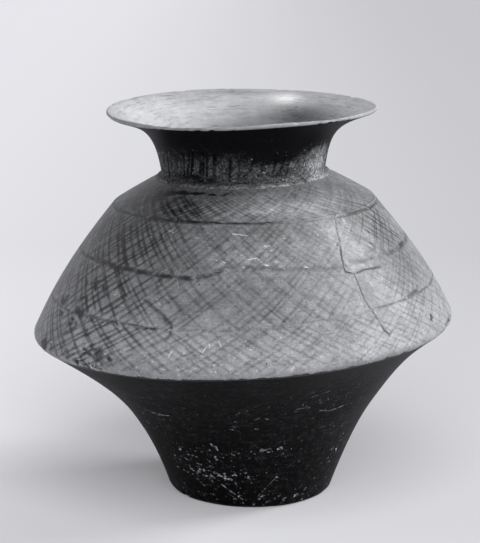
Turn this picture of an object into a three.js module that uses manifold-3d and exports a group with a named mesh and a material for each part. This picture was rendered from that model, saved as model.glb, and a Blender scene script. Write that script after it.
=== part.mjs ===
// A hand-built pottery jar: flat foot, flaring lower wall, sharp belly edge, conical shoulder with a
// flatter top, short neck and wide everted rim. Millimetres, +Z up. The origin is the middle of the
// foot's flat underside, and the front of the jar faces -Y.
// The pieces are the rings that the potter joined edge to edge, and the two sherds of the shoulder
// that were mended back in. Every outline is drawn upright first, and the whole jar is leaned last.
import * as THREE from 'three';
import { mergeVertices } from 'three/addons/utils/BufferGeometryUtils.js';
import Module from 'manifold-3d';

const wasm = await Module();
wasm.setup();

// Foot
const footRadius = 60;
const footEdgeHeight = 2.5; // the worn lower edge
const footEdgeInset = 2;
const footThickness = 7; // floor of the jar
const footJointHeight = 9; // where the wall stands on the disc, seen from outside

// Lower wall: angles are from straight up, outward positive, and a pull is how far a bend keeps them
const lowerLeave = { angle: 19.2, pull: 68 };
const lowerArrive = { angle: 55.2, pull: 55.5 };
const lowerWallThickness = 6.5;

// Belly edge, where the two cones meet
const bellyRadius = 151.6; // of the sharp corner, before it is rounded
const bellyHeight = 122.9;
const bellyRounding = 4;
const bellyLap = 6.3; // how far the shoulder wraps under the corner
const bellyScarf = 3;

// Shoulder, from the belly corner up to the burnished line under its flatter top
const shoulderHeight = 89.3;
const shoulderTopRadius = 93.1;
const shoulderLeave = { angle: -28.7, pull: 11.3 };
const shoulderArrive = { angle: -39.8, pull: 65.6 };
const shoulderThickness = 6;
const topHeight = 19.7; // from that line to the neck's foot
const topLeave = { angle: -52, pull: 2.5 };
const topArrive = { angle: -62.5, pull: 13.2 };
const topThickness = 6;
const topScarf = 2;

// Neck, with the low ridge where its foot laps over the shoulder
const neckRadius = 58.1;
const neckHeight = 43.2; // from its foot to the underside of the lip
const neckThickness = 5.5;
const neckLeave = { angle: 8.7, pull: 27.4 };
const ridgeWidth = 4.6;
const ridgeProud = 0.9;
const ridgeRise = 1.6; // how far the ridge runs up the neck

// Rim
const rimRadius = 94.7;
const rimArrive = { angle: 70.9, pull: 30 };
const rimJointRise = 15.8; // where the rim's ring starts, above the neck's foot
const rimScarf = 4;
const lipThickness = 3;
const lipBulge = 0.9;

// Joints between the rings and round the mended sherds
const jointGap = 0.3;

// Heights that follow
const shoulderTopHeight = bellyHeight + shoulderHeight;
const neckFootHeight = shoulderTopHeight + topHeight;
const rimHeight = neckFootHeight + neckHeight;
const rimJointHeight = neckFootHeight + rimJointRise;

// The jar sags to its left (-X): how far each level has moved that way, and how steeply it tilts
const lowerLeanHeight = 65;
const lowerSag = -1.2;
const lowerTilt = 0.063;
const bellySag = 6.1;
const bellyTilt = 0.051;
const neckSag = 6.4;
const neckTilt = 0.034;
const rimSag = 7.7;
const rimTilt = 0.022;
const lean = [
  { height: 0, sag: 0, tilt: 0 },
  { height: lowerLeanHeight, sag: lowerSag, tilt: lowerTilt },
  { height: bellyHeight, sag: bellySag, tilt: bellyTilt },
  { height: neckFootHeight, sag: neckSag, tilt: neckTilt },
  { height: rimHeight, sag: rimSag, tilt: rimTilt },
];

// Cracks round the mended sherds: degrees round the jar from its front towards +X, and how far
// down the shoulder, from 0 at its top line to 1 at the belly corner
const crackFork = [38.2, 0.405];
const crackStem = [
  [43.8, -0.029],
  [41.5, 0.015],
  [39, 0.105],
  [37.8, 0.202],
  [36.3, 0.262],
  [35.2, 0.355],
  [35.1, 0.38],
];
const crackBranch = [
  [43.2, 0.393],
  [48, 0.402],
  [62, 0.41],
  [78, 0.38],
];
const crackDown = [
  [38.2, 0.494],
  [38.3, 0.6],
  [39.6, 0.68],
  [40.5, 0.757],
  [41.2, 0.815],
  [42.5, 0.852],
];
const crackFoot = [
  [44.2, 0.831],
  [53, 0.767],
  [62, 0.666],
  [69, 0.542],
];
const crackBack = [
  [90, 0.306],
  [94, 0.183],
  [90, 0.071],
];
const crackStep = 4; // widest step round the jar along a cut, degrees
const sharpestMitre = 0.5; // a cut's corner moves at most one over this times its sides

const segments = 60;

const at = (radius, height) => new THREE.Vector2(radius, height);

// A step of one length, at an angle from straight up
function step(length, degrees) {
  const angle = THREE.MathUtils.degToRad(degrees);
  return at(length * Math.sin(angle), length * Math.cos(angle));
}

function bend(from, leave, to, arrive, steps) {
  const first = from.clone().add(step(leave.pull, leave.angle));
  const second = to.clone().sub(step(arrive.pull, arrive.angle));
  return new THREE.CubicBezierCurve(from, first, second, to).getPoints(steps);
}

function lengthOf(path) {
  return path.slice(1).reduce((sum, p, i) => sum + p.distanceTo(path[i]), 0);
}

// The part of a path between two lengths along it
function stretch(path, from, to) {
  const points = [];
  let run = 0;
  path.slice(1).forEach((next, i) => {
    const piece = next.distanceTo(path[i]);
    const enters = (from - run) / piece;
    const leaves = (to - run) / piece;
    if (enters < 1 && leaves > 0) {
      if (points.length === 0) points.push(path[i].clone().lerp(next, Math.max(enters, 0)));
      points.push(path[i].clone().lerp(next, Math.min(leaves, 1)));
    }
    run += piece;
  });
  return points;
}

function lengthAtHeight(path, height) {
  let run = 0;
  for (let i = 1; i < path.length; i += 1) {
    const piece = path[i].distanceTo(path[i - 1]);
    if (path[i].y >= height) {
      return run + (piece * (height - path[i - 1].y)) / (path[i].y - path[i - 1].y);
    }
    run += piece;
  }
  return run;
}

// A path moved into the clay, square to itself, by a wall that may thin along it
function inside(path, wallAtStart, wallAtEnd) {
  return path.map((p, i) => {
    const before = path[Math.max(i - 1, 0)];
    const after = path[Math.min(i + 1, path.length - 1)];
    const along = after.clone().sub(before).normalize();
    const wall = THREE.MathUtils.lerp(wallAtStart, wallAtEnd, i / (path.length - 1));
    return at(p.x - wall * along.y, p.y + wall * along.x);
  });
}

// Where two paths cross, as a length along each
function crossing(first, second) {
  let runFirst = 0;
  for (let i = 1; i < first.length; i += 1) {
    const a = first[i].clone().sub(first[i - 1]);
    let runSecond = 0;
    for (let j = 1; j < second.length; j += 1) {
      const b = second[j].clone().sub(second[j - 1]);
      const apart = second[j - 1].clone().sub(first[i - 1]);
      const across = a.cross(b);
      const s = apart.cross(b) / across;
      const t = apart.cross(a) / across;
      if (s >= 0 && s <= 1 && t >= 0 && t <= 1) {
        return [runFirst + s * a.length(), runSecond + t * b.length()];
      }
      runSecond += b.length();
    }
    runFirst += a.length();
  }
  throw new Error('the inner walls do not meet');
}

// Outer outline from the foot to the lip, and the inner wall behind each stretch of it
const bellyCorner = at(bellyRadius, bellyHeight);
const shoulderTop = at(shoulderTopRadius, shoulderTopHeight);
const neckFoot = at(neckRadius, neckFootHeight);
const lowerOuter = bend(
  at(footRadius, footEdgeHeight), lowerLeave, bellyCorner, lowerArrive, 9,
);
const shoulderOuter = bend(bellyCorner, shoulderLeave, shoulderTop, shoulderArrive, 7);
const topOuter = bend(shoulderTop, topLeave, neckFoot, topArrive, 4);
const neckOuter = bend(neckFoot, neckLeave, at(rimRadius, rimHeight), rimArrive, 11);
const lowerInner = inside(lowerOuter, lowerWallThickness, lowerWallThickness);
const shoulderInner = inside(shoulderOuter, shoulderThickness, shoulderThickness);
const neckInner = inside(neckOuter, neckThickness, lipThickness);
const topInnerAlone = inside(topOuter, topThickness, topThickness);
const topInner = [...topInnerAlone, neckInner[0]];

const half = jointGap / 2;
const lowerLength = lengthOf(lowerOuter);
const [bellyInsideLower, bellyInsideShoulder] = crossing(lowerInner, shoulderInner);
const [topInsideShoulder, topInsideTop] = crossing(shoulderInner, topInner);

function ringGeometry(profile) {
  const closed = [...profile, profile[0].clone()];
  return new THREE.LatheGeometry(closed, segments).rotateX(Math.PI / 2);
}

function footDisc() {
  const joint = lengthAtHeight(lowerOuter, footJointHeight);
  const seat = stretch(lowerInner, lengthAtHeight(lowerInner, footThickness), lowerLength)[0];
  const profile = [
    at(0, 0),
    at(footRadius - footEdgeInset, 0),
    ...stretch(lowerOuter, 0, joint - half),
    seat,
    at(0, footThickness),
  ];
  return new THREE.LatheGeometry(profile, segments).rotateX(Math.PI / 2);
}

function lowerWall() {
  const joint = lengthAtHeight(lowerOuter, footJointHeight);
  const floor = lengthAtHeight(lowerInner, footThickness + jointGap);
  return ringGeometry([
    ...stretch(lowerOuter, joint + half, lowerLength - bellyLap - half),
    ...stretch(lowerInner, floor, bellyInsideLower - bellyScarf - half).reverse(),
  ]);
}

function bellyNose() {
  const below = stretch(lowerOuter, lowerLength - bellyRounding, lowerLength)[0];
  const above = stretch(shoulderOuter, bellyRounding, lengthOf(shoulderOuter))[0];
  return new THREE.QuadraticBezierCurve(below, bellyCorner, above).getPoints(4);
}

function shoulderRing() {
  const nose = bellyNose();
  const under = stretch(lowerOuter, lowerLength - bellyLap + half, lowerLength - bellyRounding);
  const rise = stretch(shoulderOuter, bellyRounding, lengthOf(shoulderOuter) - half);
  const innerFoot = stretch(lowerInner, bellyInsideLower - bellyScarf + half, bellyInsideLower);
  const innerRise = stretch(shoulderInner, bellyInsideShoulder, topInsideShoulder - topScarf - half);
  return ringGeometry([
    ...under.slice(0, -1),
    ...nose,
    ...rise.slice(1),
    ...innerRise.reverse(),
    ...innerFoot.slice(0, -1).reverse(),
  ]);
}

function shoulderTopRing() {
  const innerFoot = stretch(shoulderInner, topInsideShoulder - topScarf + half, topInsideShoulder);
  const innerRise = stretch(topInner, topInsideTop, lengthOf(topInnerAlone) - half);
  return ringGeometry([
    ...stretch(topOuter, half, lengthOf(topOuter) - ridgeWidth - half),
    ...innerRise.reverse(),
    ...innerFoot.slice(0, -1).reverse(),
  ]);
}

// The ridge stands proud of the shoulder, square to it
function neckRidge() {
  const start = lengthOf(topOuter) - ridgeWidth;
  const foot = stretch(topOuter, start + half, lengthOf(topOuter));
  const crest = stretch(inside(topOuter, -ridgeProud, -ridgeProud), start + ridgeWidth / 3, Infinity);
  return [foot[0], crest[0], crest[crest.length - 1]];
}

function neckCollar() {
  const joint = lengthAtHeight(neckOuter, rimJointHeight);
  const innerJoint = lengthAtHeight(neckInner, rimJointHeight + rimScarf);
  const lap = stretch(topInner, lengthOf(topInnerAlone) + half, lengthOf(topInner));
  return ringGeometry([
    ...neckRidge(),
    ...stretch(neckOuter, ridgeRise, joint - half),
    ...stretch(neckInner, 0, innerJoint - half).reverse(),
    lap[0],
  ]);
}

function rimFlange() {
  const outer = stretch(neckOuter, lengthAtHeight(neckOuter, rimJointHeight) + half, Infinity);
  const innerJoint = lengthAtHeight(neckInner, rimJointHeight + rimScarf);
  const inner = stretch(neckInner, innerJoint + half, Infinity);
  const low = outer[outer.length - 1];
  const high = inner[inner.length - 1];
  const bulge = step(lipBulge, rimArrive.angle);
  const lip = new THREE.CubicBezierCurve(
    low,
    low.clone().add(bulge).add(bulge),
    high.clone().add(bulge).add(bulge),
    high,
  ).getPoints(4);
  return ringGeometry([...outer, ...lip.slice(1, -1), ...inner.reverse()]);
}

// A solid from a geometry, and back
function toSolid(geometry) {
  const bare = new THREE.BufferGeometry();
  bare.setAttribute('position', geometry.getAttribute('position'));
  bare.setIndex(geometry.getIndex());
  const merged = mergeVertices(bare, 1e-4);
  const vertProperties = new Float32Array(merged.getAttribute('position').array);
  const triVerts = new Uint32Array(merged.getIndex().array);
  return new wasm.Manifold(new wasm.Mesh({ numProp: 3, vertProperties, triVerts }));
}

function toGeometry(solid) {
  const mesh = solid.getMesh();
  const geometry = new THREE.BufferGeometry();
  geometry.setAttribute('position', new THREE.BufferAttribute(mesh.vertProperties, 3));
  geometry.setIndex(new THREE.BufferAttribute(mesh.triVerts, 1));
  return geometry;
}

// A crack outline in short steps, because its cut is flat between one point and the next
function inSteps(outline) {
  return outline.flatMap((from, i) => {
    const to = outline[(i + 1) % outline.length];
    const count = Math.ceil(Math.abs(to[0] - from[0]) / crackStep) || 1;
    return Array.from({ length: count }, (unused, k) => at(...from).lerp(at(...to), k / count).toArray());
  });
}

const slope = Math.hypot(1, (bellyRadius - shoulderTopRadius) / shoulderHeight);
const crackHeight = (down) => shoulderTopHeight - down * shoulderHeight;

// A crack outline as degrees and heights, moved outward all round by millimetres along the wall
function grow(outline, millimetres) {
  const flat = outline.map(([degrees, down]) => {
    const radius = THREE.MathUtils.lerp(shoulderTopRadius, bellyRadius, down);
    return { radius, p: at(THREE.MathUtils.degToRad(degrees) * radius, crackHeight(down) * slope) };
  });
  return flat.map(({ radius, p }, i) => {
    const before = flat[(i + flat.length - 1) % flat.length].p;
    const after = flat[(i + 1) % flat.length].p;
    const arriving = p.clone().sub(before).normalize();
    const leaving = after.clone().sub(p).normalize();
    const outward = at(arriving.y + leaving.y, -arriving.x - leaving.x).normalize();
    const mitre = Math.max(outward.dot(at(leaving.y, -leaving.x)), sharpestMitre);
    const moved = p.clone().add(outward.multiplyScalar(millimetres / mitre));
    return [THREE.MathUtils.radToDeg(moved.x / radius), moved.y / slope];
  });
}

// A wedge with a crack outline's shape, from near the jar's axis to well outside its wall
function wedge(outline) {
  const points = outline.map((p) => at(...p));
  const faces = THREE.ShapeUtils.triangulateShape(points, []);
  const fromRadius = shoulderTopRadius / 2;
  const toRadius = bellyRadius * 1.3;
  const positions = [fromRadius, toRadius].flatMap((radius) =>
    points.flatMap((p) => {
      const angle = THREE.MathUtils.degToRad(p.x);
      return [radius * Math.sin(angle), -radius * Math.cos(angle), p.y];
    }),
  );
  const count = points.length;
  const index = faces.flatMap(([a, b, c]) => [c, b, a, a + count, b + count, c + count]);
  // Each side face folds along the same diagonal in both wedges that share a crack
  points.forEach((p, i) => {
    const next = (i + 1) % count;
    const rises = points[next].x > p.x;
    const folds = rises
      ? [i, next, next + count, i, next + count, i + count]
      : [i, next, i + count, next, next + count, i + count];
    index.push(...folds);
  });
  const geometry = new THREE.BufferGeometry();
  geometry.setAttribute('position', new THREE.Float32BufferAttribute(positions, 3));
  geometry.setIndex(index);
  return toSolid(geometry);
}

// Outlines run counter-clockwise, seen from outside with the jar's right (+X) to the right. The
// upper one runs on past the shoulder's top line.
function sherdOutlines() {
  const past = -topHeight / shoulderHeight;
  const crackEnd = crackBranch[crackBranch.length - 1];
  const upper = [
    crackFork,
    ...crackBranch,
    ...crackBack,
    [crackBack[crackBack.length - 1][0], past],
    [crackStem[0][0], past],
    ...crackStem,
  ];
  const lower = [
    crackDown[crackDown.length - 1],
    ...crackFoot,
    crackEnd,
    ...crackBranch.slice(0, -1).reverse(),
    crackFork,
    ...crackDown.slice(0, -1),
  ];
  return { upper: inSteps(upper), lower: inSteps(lower) };
}

function shoulderPieces() {
  const ring = toSolid(shoulderRing());
  const { upper, lower } = sherdOutlines();
  return {
    wall: ring.subtract(wedge(grow(upper, half))).subtract(wedge(grow(lower, half))),
    upper: ring.intersect(wedge(grow(upper, -half))),
    lower: ring.intersect(wedge(grow(lower, -half))),
  };
}

// The jar's lean at one height, eased from station to station
function leanAt(height) {
  const above = lean.findIndex((station) => station.height > height);
  if (above < 1) return above === 0 ? lean[0] : lean[lean.length - 1];
  const [a, b] = [lean[above - 1], lean[above]];
  const ease = THREE.MathUtils.smoothstep(height, a.height, b.height);
  return {
    sag: THREE.MathUtils.lerp(a.sag, b.sag, ease),
    tilt: THREE.MathUtils.lerp(a.tilt, b.tilt, ease),
  };
}

function leaned(geometry) {
  const position = geometry.getAttribute('position');
  for (let i = 0; i < position.count; i += 1) {
    const { sag, tilt } = leanAt(position.getZ(i));
    position.setZ(i, position.getZ(i) + tilt * position.getX(i));
    position.setX(i, position.getX(i) - sag);
  }
  geometry.computeVertexNormals();
  return geometry;
}

// Fired clay: grey where the wall is worn, near black where it was burnished or smoked
const clay = {
  blackBurnish: { color: 0x1f1f21, roughness: 0.38 },
  greyBurnish: { color: 0x77777a, roughness: 0.5 },
  mendedGrey: { color: 0x858588, roughness: 0.5 },
  smokedGrey: { color: 0x3c3c3f, roughness: 0.48 },
  paleRim: { color: 0xa9a9ac, roughness: 0.6 },
};

const jar = new THREE.Group();

function addPiece(name, geometry, finish) {
  const material = new THREE.MeshStandardMaterial({ ...finish, metalness: 0 });
  const mesh = new THREE.Mesh(leaned(geometry), material);
  mesh.name = name;
  jar.add(mesh);
}

const shoulder = shoulderPieces();
addPiece('foot_disc', footDisc(), clay.blackBurnish);
addPiece('lower_wall', lowerWall(), clay.blackBurnish);
addPiece('shoulder_wall', toGeometry(shoulder.wall), clay.greyBurnish);
addPiece('shoulder_sherd_upper', toGeometry(shoulder.upper), clay.mendedGrey);
addPiece('shoulder_sherd_lower', toGeometry(shoulder.lower), clay.mendedGrey);
addPiece('shoulder_top', shoulderTopRing(), clay.greyBurnish);
addPiece('neck_collar', neckCollar(), clay.smokedGrey);
addPiece('rim_flange', rimFlange(), clay.paleRim);

export default jar;
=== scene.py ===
# The looks of a hand-built pottery jar: grey burnished shoulder with a lattice of strokes, black
# burnished lower wall, smoked neck and worn pale rim. Each ring of clay is turned as a fine mesh from
# the outline of its CAD node, then dented, chipped and leaned. Strokes are laid one by one.
import math
import bpy
import numpy as np
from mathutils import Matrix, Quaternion, Vector


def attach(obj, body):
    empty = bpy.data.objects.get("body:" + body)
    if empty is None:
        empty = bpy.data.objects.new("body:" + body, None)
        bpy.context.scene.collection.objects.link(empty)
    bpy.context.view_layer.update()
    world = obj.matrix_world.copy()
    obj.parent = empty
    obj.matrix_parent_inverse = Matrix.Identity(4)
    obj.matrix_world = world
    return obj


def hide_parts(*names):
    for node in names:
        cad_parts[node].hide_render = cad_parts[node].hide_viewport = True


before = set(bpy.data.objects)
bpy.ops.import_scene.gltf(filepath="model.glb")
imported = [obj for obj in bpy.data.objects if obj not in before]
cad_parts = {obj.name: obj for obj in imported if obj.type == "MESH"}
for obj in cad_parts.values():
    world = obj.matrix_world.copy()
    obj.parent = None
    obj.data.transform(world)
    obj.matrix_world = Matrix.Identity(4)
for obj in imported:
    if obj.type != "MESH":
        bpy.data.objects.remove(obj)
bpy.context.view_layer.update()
print("frame loaded:", ", ".join(sorted(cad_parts)))

mm = 0.001

# Camera: the photograph looks down on the jar a little, from about 1.3 m away
cameraView = {
    "place": (0.0, -1.2603, 0.4493),
    "aim": (-0.00831, 0.00397, 0.15732),
    "roll": 0.31,  # degrees
    "lens": 119.24,  # mm, on a sensor 36 mm wide
    "clip": (0.1, 200),  # m
}


def addObject(name, data):
    made = bpy.data.objects.new(name, data)
    bpy.context.scene.collection.objects.link(made)
    return made


def addMesh(name, points, faces):
    mesh = bpy.data.meshes.new(name)
    mesh.from_pydata(points, [], faces)
    return addObject(name, mesh)


def placeCamera(view):
    camera = addObject("photoCamera", bpy.data.cameras.new("photoCamera"))
    camera.data.lens = view["lens"]
    camera.data.clip_start, camera.data.clip_end = view["clip"]
    camera.location = view["place"]
    camera.rotation_mode = "QUATERNION"
    towards = (Vector(view["aim"]) - Vector(view["place"])).to_track_quat("-Z", "Y")
    camera.rotation_quaternion = towards @ Quaternion((0, 0, 1), math.radians(view["roll"]))
    bpy.context.scene.camera = camera


placeCamera(cameraView)
print("camera placed")


# Outlines are points (radius, height) in millimetres, of the jar standing upright, and a bend keeps
# its angle, from straight up, for the length of its pull
def stepAt(length, degrees):
    angle = math.radians(degrees)
    return np.array((length * math.sin(angle), length * math.cos(angle)))


def bend(start, leave, end, arrive):
    first = start + stepAt(leave["pull"], leave["angle"])
    second = end - stepAt(arrive["pull"], arrive["angle"])
    return curveThrough(start, first, second, end)


def curveThrough(start, first, second, end):
    t = np.linspace(0, 1, meshing["curve"])[:, None]
    ends = (1 - t) ** 3 * start + t**3 * end
    return ends + 3 * (1 - t) ** 2 * t * first + 3 * (1 - t) * t**2 * second


def runAlong(path):
    steps = np.hypot(*np.diff(path, axis=0).T)
    return np.concatenate(((0,), np.cumsum(steps)))


# The part of a path between two lengths along it, in even steps
def stretch(path, start, end, spacing):
    run = runAlong(path)
    count = max(int(math.ceil((end - start) / spacing)), 1)
    wanted = np.linspace(start, end, count + 1)
    return np.stack([np.interp(wanted, run, path[:, k]) for k in (0, 1)], axis=1)


def pointAt(path, run):
    return stretch(path, run, run, 1)[0]


def runAtHeight(path, height):
    return float(np.interp(height, path[:, 1], runAlong(path)))


# A path moved into the clay, square to itself, by a wall that may thin along it
def inside(path, wall, wallAtEnd=None):
    along = np.gradient(path, axis=0)
    along /= np.hypot(*along.T)[:, None]
    wall = np.linspace(wall, wallAtEnd or wall, len(path))
    return np.stack((path[:, 0] - wall * along[:, 1], path[:, 1] + wall * along[:, 0]), axis=1)


# Where two paths come closest, as a length along each
def crossing(first, second):
    apart = np.hypot(*(first[:, None] - second[None]).transpose(2, 0, 1))
    i, j = np.unravel_index(apart.argmin(), apart.shape)
    return float(runAlong(first)[i]), float(runAlong(second)[j])


# Corners of a path rounded off, by cutting a quarter off both sides of each a few times
def soften(points, rounds):
    for _ in range(rounds):
        near = 0.75 * points[:-1] + 0.25 * points[1:]
        far = 0.25 * points[:-1] + 0.75 * points[1:]
        cut = np.stack((near, far), axis=1).reshape(-1, 2)
        points = np.vstack((points[0], cut[1:-1], points[-1]))
    return points


jarForm = {
    "footRadius": 60.0,
    "footEdge": 2.5,
    "footEdgeInset": 2.0,
    "footThickness": 7.0,
    "footJoint": 9.0,
    "lowerLeave": {"angle": 19.2, "pull": 68},
    "lowerArrive": {"angle": 55.2, "pull": 55.5},
    "lowerThickness": 6.5,
    "bellyRadius": 151.6,
    "bellyHeight": 122.9,
    "bellyRounding": 4.0,
    "bellyLap": 6.3,
    "bellyScarf": 3.0,
    "shoulderHeight": 89.3,
    "shoulderTopRadius": 93.1,
    "shoulderLeave": {"angle": -28.7, "pull": 11.3},
    "shoulderArrive": {"angle": -39.8, "pull": 65.6},
    "shoulderThickness": 6.0,
    "topHeight": 19.7,
    "topLeave": {"angle": -52, "pull": 2.5},
    "topArrive": {"angle": -62.5, "pull": 13.2},
    "topThickness": 6.0,
    "topScarf": 2.0,
    "neckRadius": 58.1,
    "neckHeight": 43.2,
    "neckThickness": 5.5,
    "neckLeave": {"angle": 8.7, "pull": 27.4},
    "ridgeWidth": 4.6,
    "ridgeProud": 0.9,
    "ridgeRise": 1.8,
    "rimRadius": 94.7,
    "rimArrive": {"angle": 70.9, "pull": 30},
    "rimJointRise": 15.8,
    "rimScarf": 4.0,
    "lipThickness": 3.0,
    "lipBulge": 0.9,
    # how the jar sags to its left: height, shift and tilt
    "lean": ((0, 0, 0), (65, -1.2, 0.063), (122.9, 6.1, 0.051), (231.9, 6.4, 0.034), (275.1, 7.7, 0.022)),
}

# How finely the clay is meshed: steps and gaps in millimetres, and counts of columns round the jar and
# of points on a curve and on the belly's edge
meshing = {
    "columns": 600, "rows": 1.3, "insideRows": 5.0, "fineRows": 0.8, "hairline": 0.03, "seam": 0.3,
    "curve": 300, "nose": 60, "skin": 0.5, "skinGap": 0.4,
}

shoulderTopHeight = jarForm["bellyHeight"] + jarForm["shoulderHeight"]
neckFootHeight = shoulderTopHeight + jarForm["topHeight"]
rimHeight = neckFootHeight + jarForm["neckHeight"]
bellyCorner = np.array((jarForm["bellyRadius"], jarForm["bellyHeight"]))
shoulderTop = np.array((jarForm["shoulderTopRadius"], shoulderTopHeight))
neckFoot = np.array((jarForm["neckRadius"], neckFootHeight))
rimEdge = np.array((jarForm["rimRadius"], rimHeight))
footCorner = np.array((jarForm["footRadius"], jarForm["footEdge"]))
footEdge = np.array((jarForm["footRadius"] - jarForm["footEdgeInset"], 0.0))

lowerOuter = bend(footCorner, jarForm["lowerLeave"], bellyCorner, jarForm["lowerArrive"])
shoulderOuter = bend(bellyCorner, jarForm["shoulderLeave"], shoulderTop, jarForm["shoulderArrive"])
topOuter = bend(shoulderTop, jarForm["topLeave"], neckFoot, jarForm["topArrive"])
neckOuter = bend(neckFoot, jarForm["neckLeave"], rimEdge, jarForm["rimArrive"])
lowerInner = inside(lowerOuter, jarForm["lowerThickness"])
shoulderInner = inside(shoulderOuter, jarForm["shoulderThickness"])
topInner = inside(topOuter, jarForm["topThickness"])
neckInner = inside(neckOuter, jarForm["neckThickness"], jarForm["lipThickness"])
lowerLength, shoulderLength, topLength, neckLength = (
    runAlong(outer)[-1] for outer in (lowerOuter, shoulderOuter, topOuter, neckOuter)
)

# Where the rings meet, as lengths along their outlines
footJoint = runAtHeight(lowerOuter, jarForm["footJoint"])
bellyLap = lowerLength - jarForm["bellyLap"]
lowerMeets, shoulderStarts = crossing(lowerInner, shoulderInner)
shoulderMeets, topStarts = crossing(shoulderInner, topInner)
rimJointHeight = neckFootHeight + jarForm["rimJointRise"]
rimJoint = runAtHeight(neckOuter, rimJointHeight)
rimInnerJoint = runAtHeight(neckInner, rimJointHeight + jarForm["rimScarf"])


# The rounded belly edge, from just under the corner to just above it
def bellyNose():
    below = pointAt(lowerOuter, lowerLength - jarForm["bellyRounding"])
    above = pointAt(shoulderOuter, jarForm["bellyRounding"])
    t = np.linspace(0, 1, meshing["nose"])[:, None]
    return (1 - t) ** 2 * below + 2 * (1 - t) * t * bellyCorner + t**2 * above


# The low ridge where the neck's foot laps over the shoulder: it climbs to its crest in the first
# two fifths of its width
def neckRidge():
    width, rise = jarForm["ridgeWidth"], jarForm["ridgeRise"]
    crest = inside(topOuter, -jarForm["ridgeProud"])
    foot = pointAt(topOuter, topLength - width)
    top = stretch(crest, topLength - width * 0.6, topLength, width * 0.2)
    climb = foot * 0.6 + top[0] * 0.4
    return soften(np.vstack((foot, climb, top[:-1], stretch(neckOuter, rise, rise * 2, 1))), 3)


def lipCurve():
    bulge = 2 * stepAt(jarForm["lipBulge"], jarForm["rimArrive"]["angle"])
    low, high = neckOuter[-1], neckInner[-1]
    return curveThrough(low, low + bulge, high + bulge, high)


ridgeStart = topLength - jarForm["ridgeWidth"]
ridgeOutline = neckRidge()
noseOutline = bellyNose()
lipOutline = lipCurve()

# The whole outline, foot to lip and on down the inside, on which every mark is placed
skinOutline = np.vstack((
    (0.0, 0.0),
    footEdge,
    stretch(lowerOuter, 0, lowerLength - jarForm["bellyRounding"], meshing["skin"]),
    noseOutline[1:-1],
    stretch(shoulderOuter, jarForm["bellyRounding"], shoulderLength, meshing["skin"]),
    stretch(topOuter, meshing["skinGap"], ridgeStart, meshing["skin"]),
    ridgeOutline[1:],
    stretch(neckOuter, 2 * jarForm["ridgeRise"] + meshing["skinGap"], neckLength, meshing["skin"]),
    lipOutline[1:-1],
    neckInner[::-1],
))
skinRun = runAlong(skinOutline)
lipRun = float(skinRun[len(skinOutline) - len(neckInner) - len(lipOutline) // 2])
outerSkin = skinRun <= lipRun


# How far up the outside a height lies, measured over the clay from the middle of the foot
def runAt(height):
    return np.interp(height, skinOutline[outerSkin, 1], skinRun[outerSkin])


# How far down the inside of the rim a radius lies, measured the same way on over the lip
def runAtInside(radius):
    inner = ~outerSkin
    return np.interp(radius, skinOutline[inner, 0][::-1], skinRun[inner][::-1])


# Profiles run up the outside of a ring and down its inside. The foot's starts and ends on the axis,
# with a few rings across its underside and its floor.
def footProfile():
    thickness = jarForm["footThickness"]
    seat = pointAt(lowerInner, runAtHeight(lowerInner, thickness))
    rise = stretch(lowerOuter, 0, footJoint - meshing["hairline"], meshing["fineRows"])
    rounded = soften(np.vstack((footEdge - (3, 0), footEdge, rise)), 2)
    under = [(share * footEdge[0], 0.0) for share in (0, 0.2, 0.4, 0.6, 0.8, 0.9)]
    floor = [(share * seat[0], thickness) for share in (0.9, 0.6, 0.3, 0)]
    return np.vstack((under, rounded, seat, floor))


def lowerProfile():
    floor = runAtHeight(lowerInner, jarForm["footThickness"] + meshing["seam"])
    insideTop = lowerMeets - jarForm["bellyScarf"] - meshing["seam"]
    outer = stretch(lowerOuter, footJoint, bellyLap - meshing["hairline"], meshing["rows"])
    return np.vstack((outer, stretch(lowerInner, floor, insideTop, meshing["insideRows"])[::-1]))


# The slanted end of a joint on the inside of the wall, in two steps down to where it starts
def scarf(path, end, length):
    return stretch(path, end - length, end, length / 2)[:-1][::-1]


def shoulderProfile():
    insideTop = shoulderMeets - jarForm["topScarf"] - meshing["seam"]
    rounding = jarForm["bellyRounding"]
    return np.vstack((
        stretch(lowerOuter, bellyLap, lowerLength - rounding, meshing["fineRows"])[:-1],
        stretch(noseOutline, 0, runAlong(noseOutline)[-1], meshing["fineRows"]),
        stretch(shoulderOuter, rounding, shoulderLength - meshing["seam"] / 2, meshing["rows"])[1:],
        stretch(shoulderInner, shoulderStarts, insideTop, meshing["insideRows"])[::-1],
        scarf(lowerInner, lowerMeets, jarForm["bellyScarf"]),
    ))


def topProfile():
    halfSeam = meshing["seam"] / 2
    return np.vstack((
        stretch(topOuter, halfSeam, ridgeStart - meshing["hairline"], meshing["fineRows"]),
        stretch(topInner, topStarts, topLength - halfSeam, meshing["insideRows"])[::-1],
        scarf(shoulderInner, shoulderMeets, jarForm["topScarf"]),
    ))


def neckProfile():
    return np.vstack((
        stretch(ridgeOutline, 0, runAlong(ridgeOutline)[-1], meshing["fineRows"] / 2),
        stretch(neckOuter, 2 * jarForm["ridgeRise"], rimJoint, meshing["fineRows"])[1:],
        stretch(neckInner, 0, rimInnerJoint - meshing["hairline"], meshing["rows"])[::-1],
        (topInner[-1] + neckInner[0]) / 2,
    ))


def rimProfile():
    return np.vstack((
        stretch(neckOuter, rimJoint + meshing["hairline"], neckLength, meshing["fineRows"]),
        stretch(lipOutline, 0, runAlong(lipOutline)[-1], meshing["fineRows"] / 2)[1:-1],
        stretch(neckInner, rimInnerJoint, runAlong(neckInner)[-1], meshing["rows"])[::-1],
    ))


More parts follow.
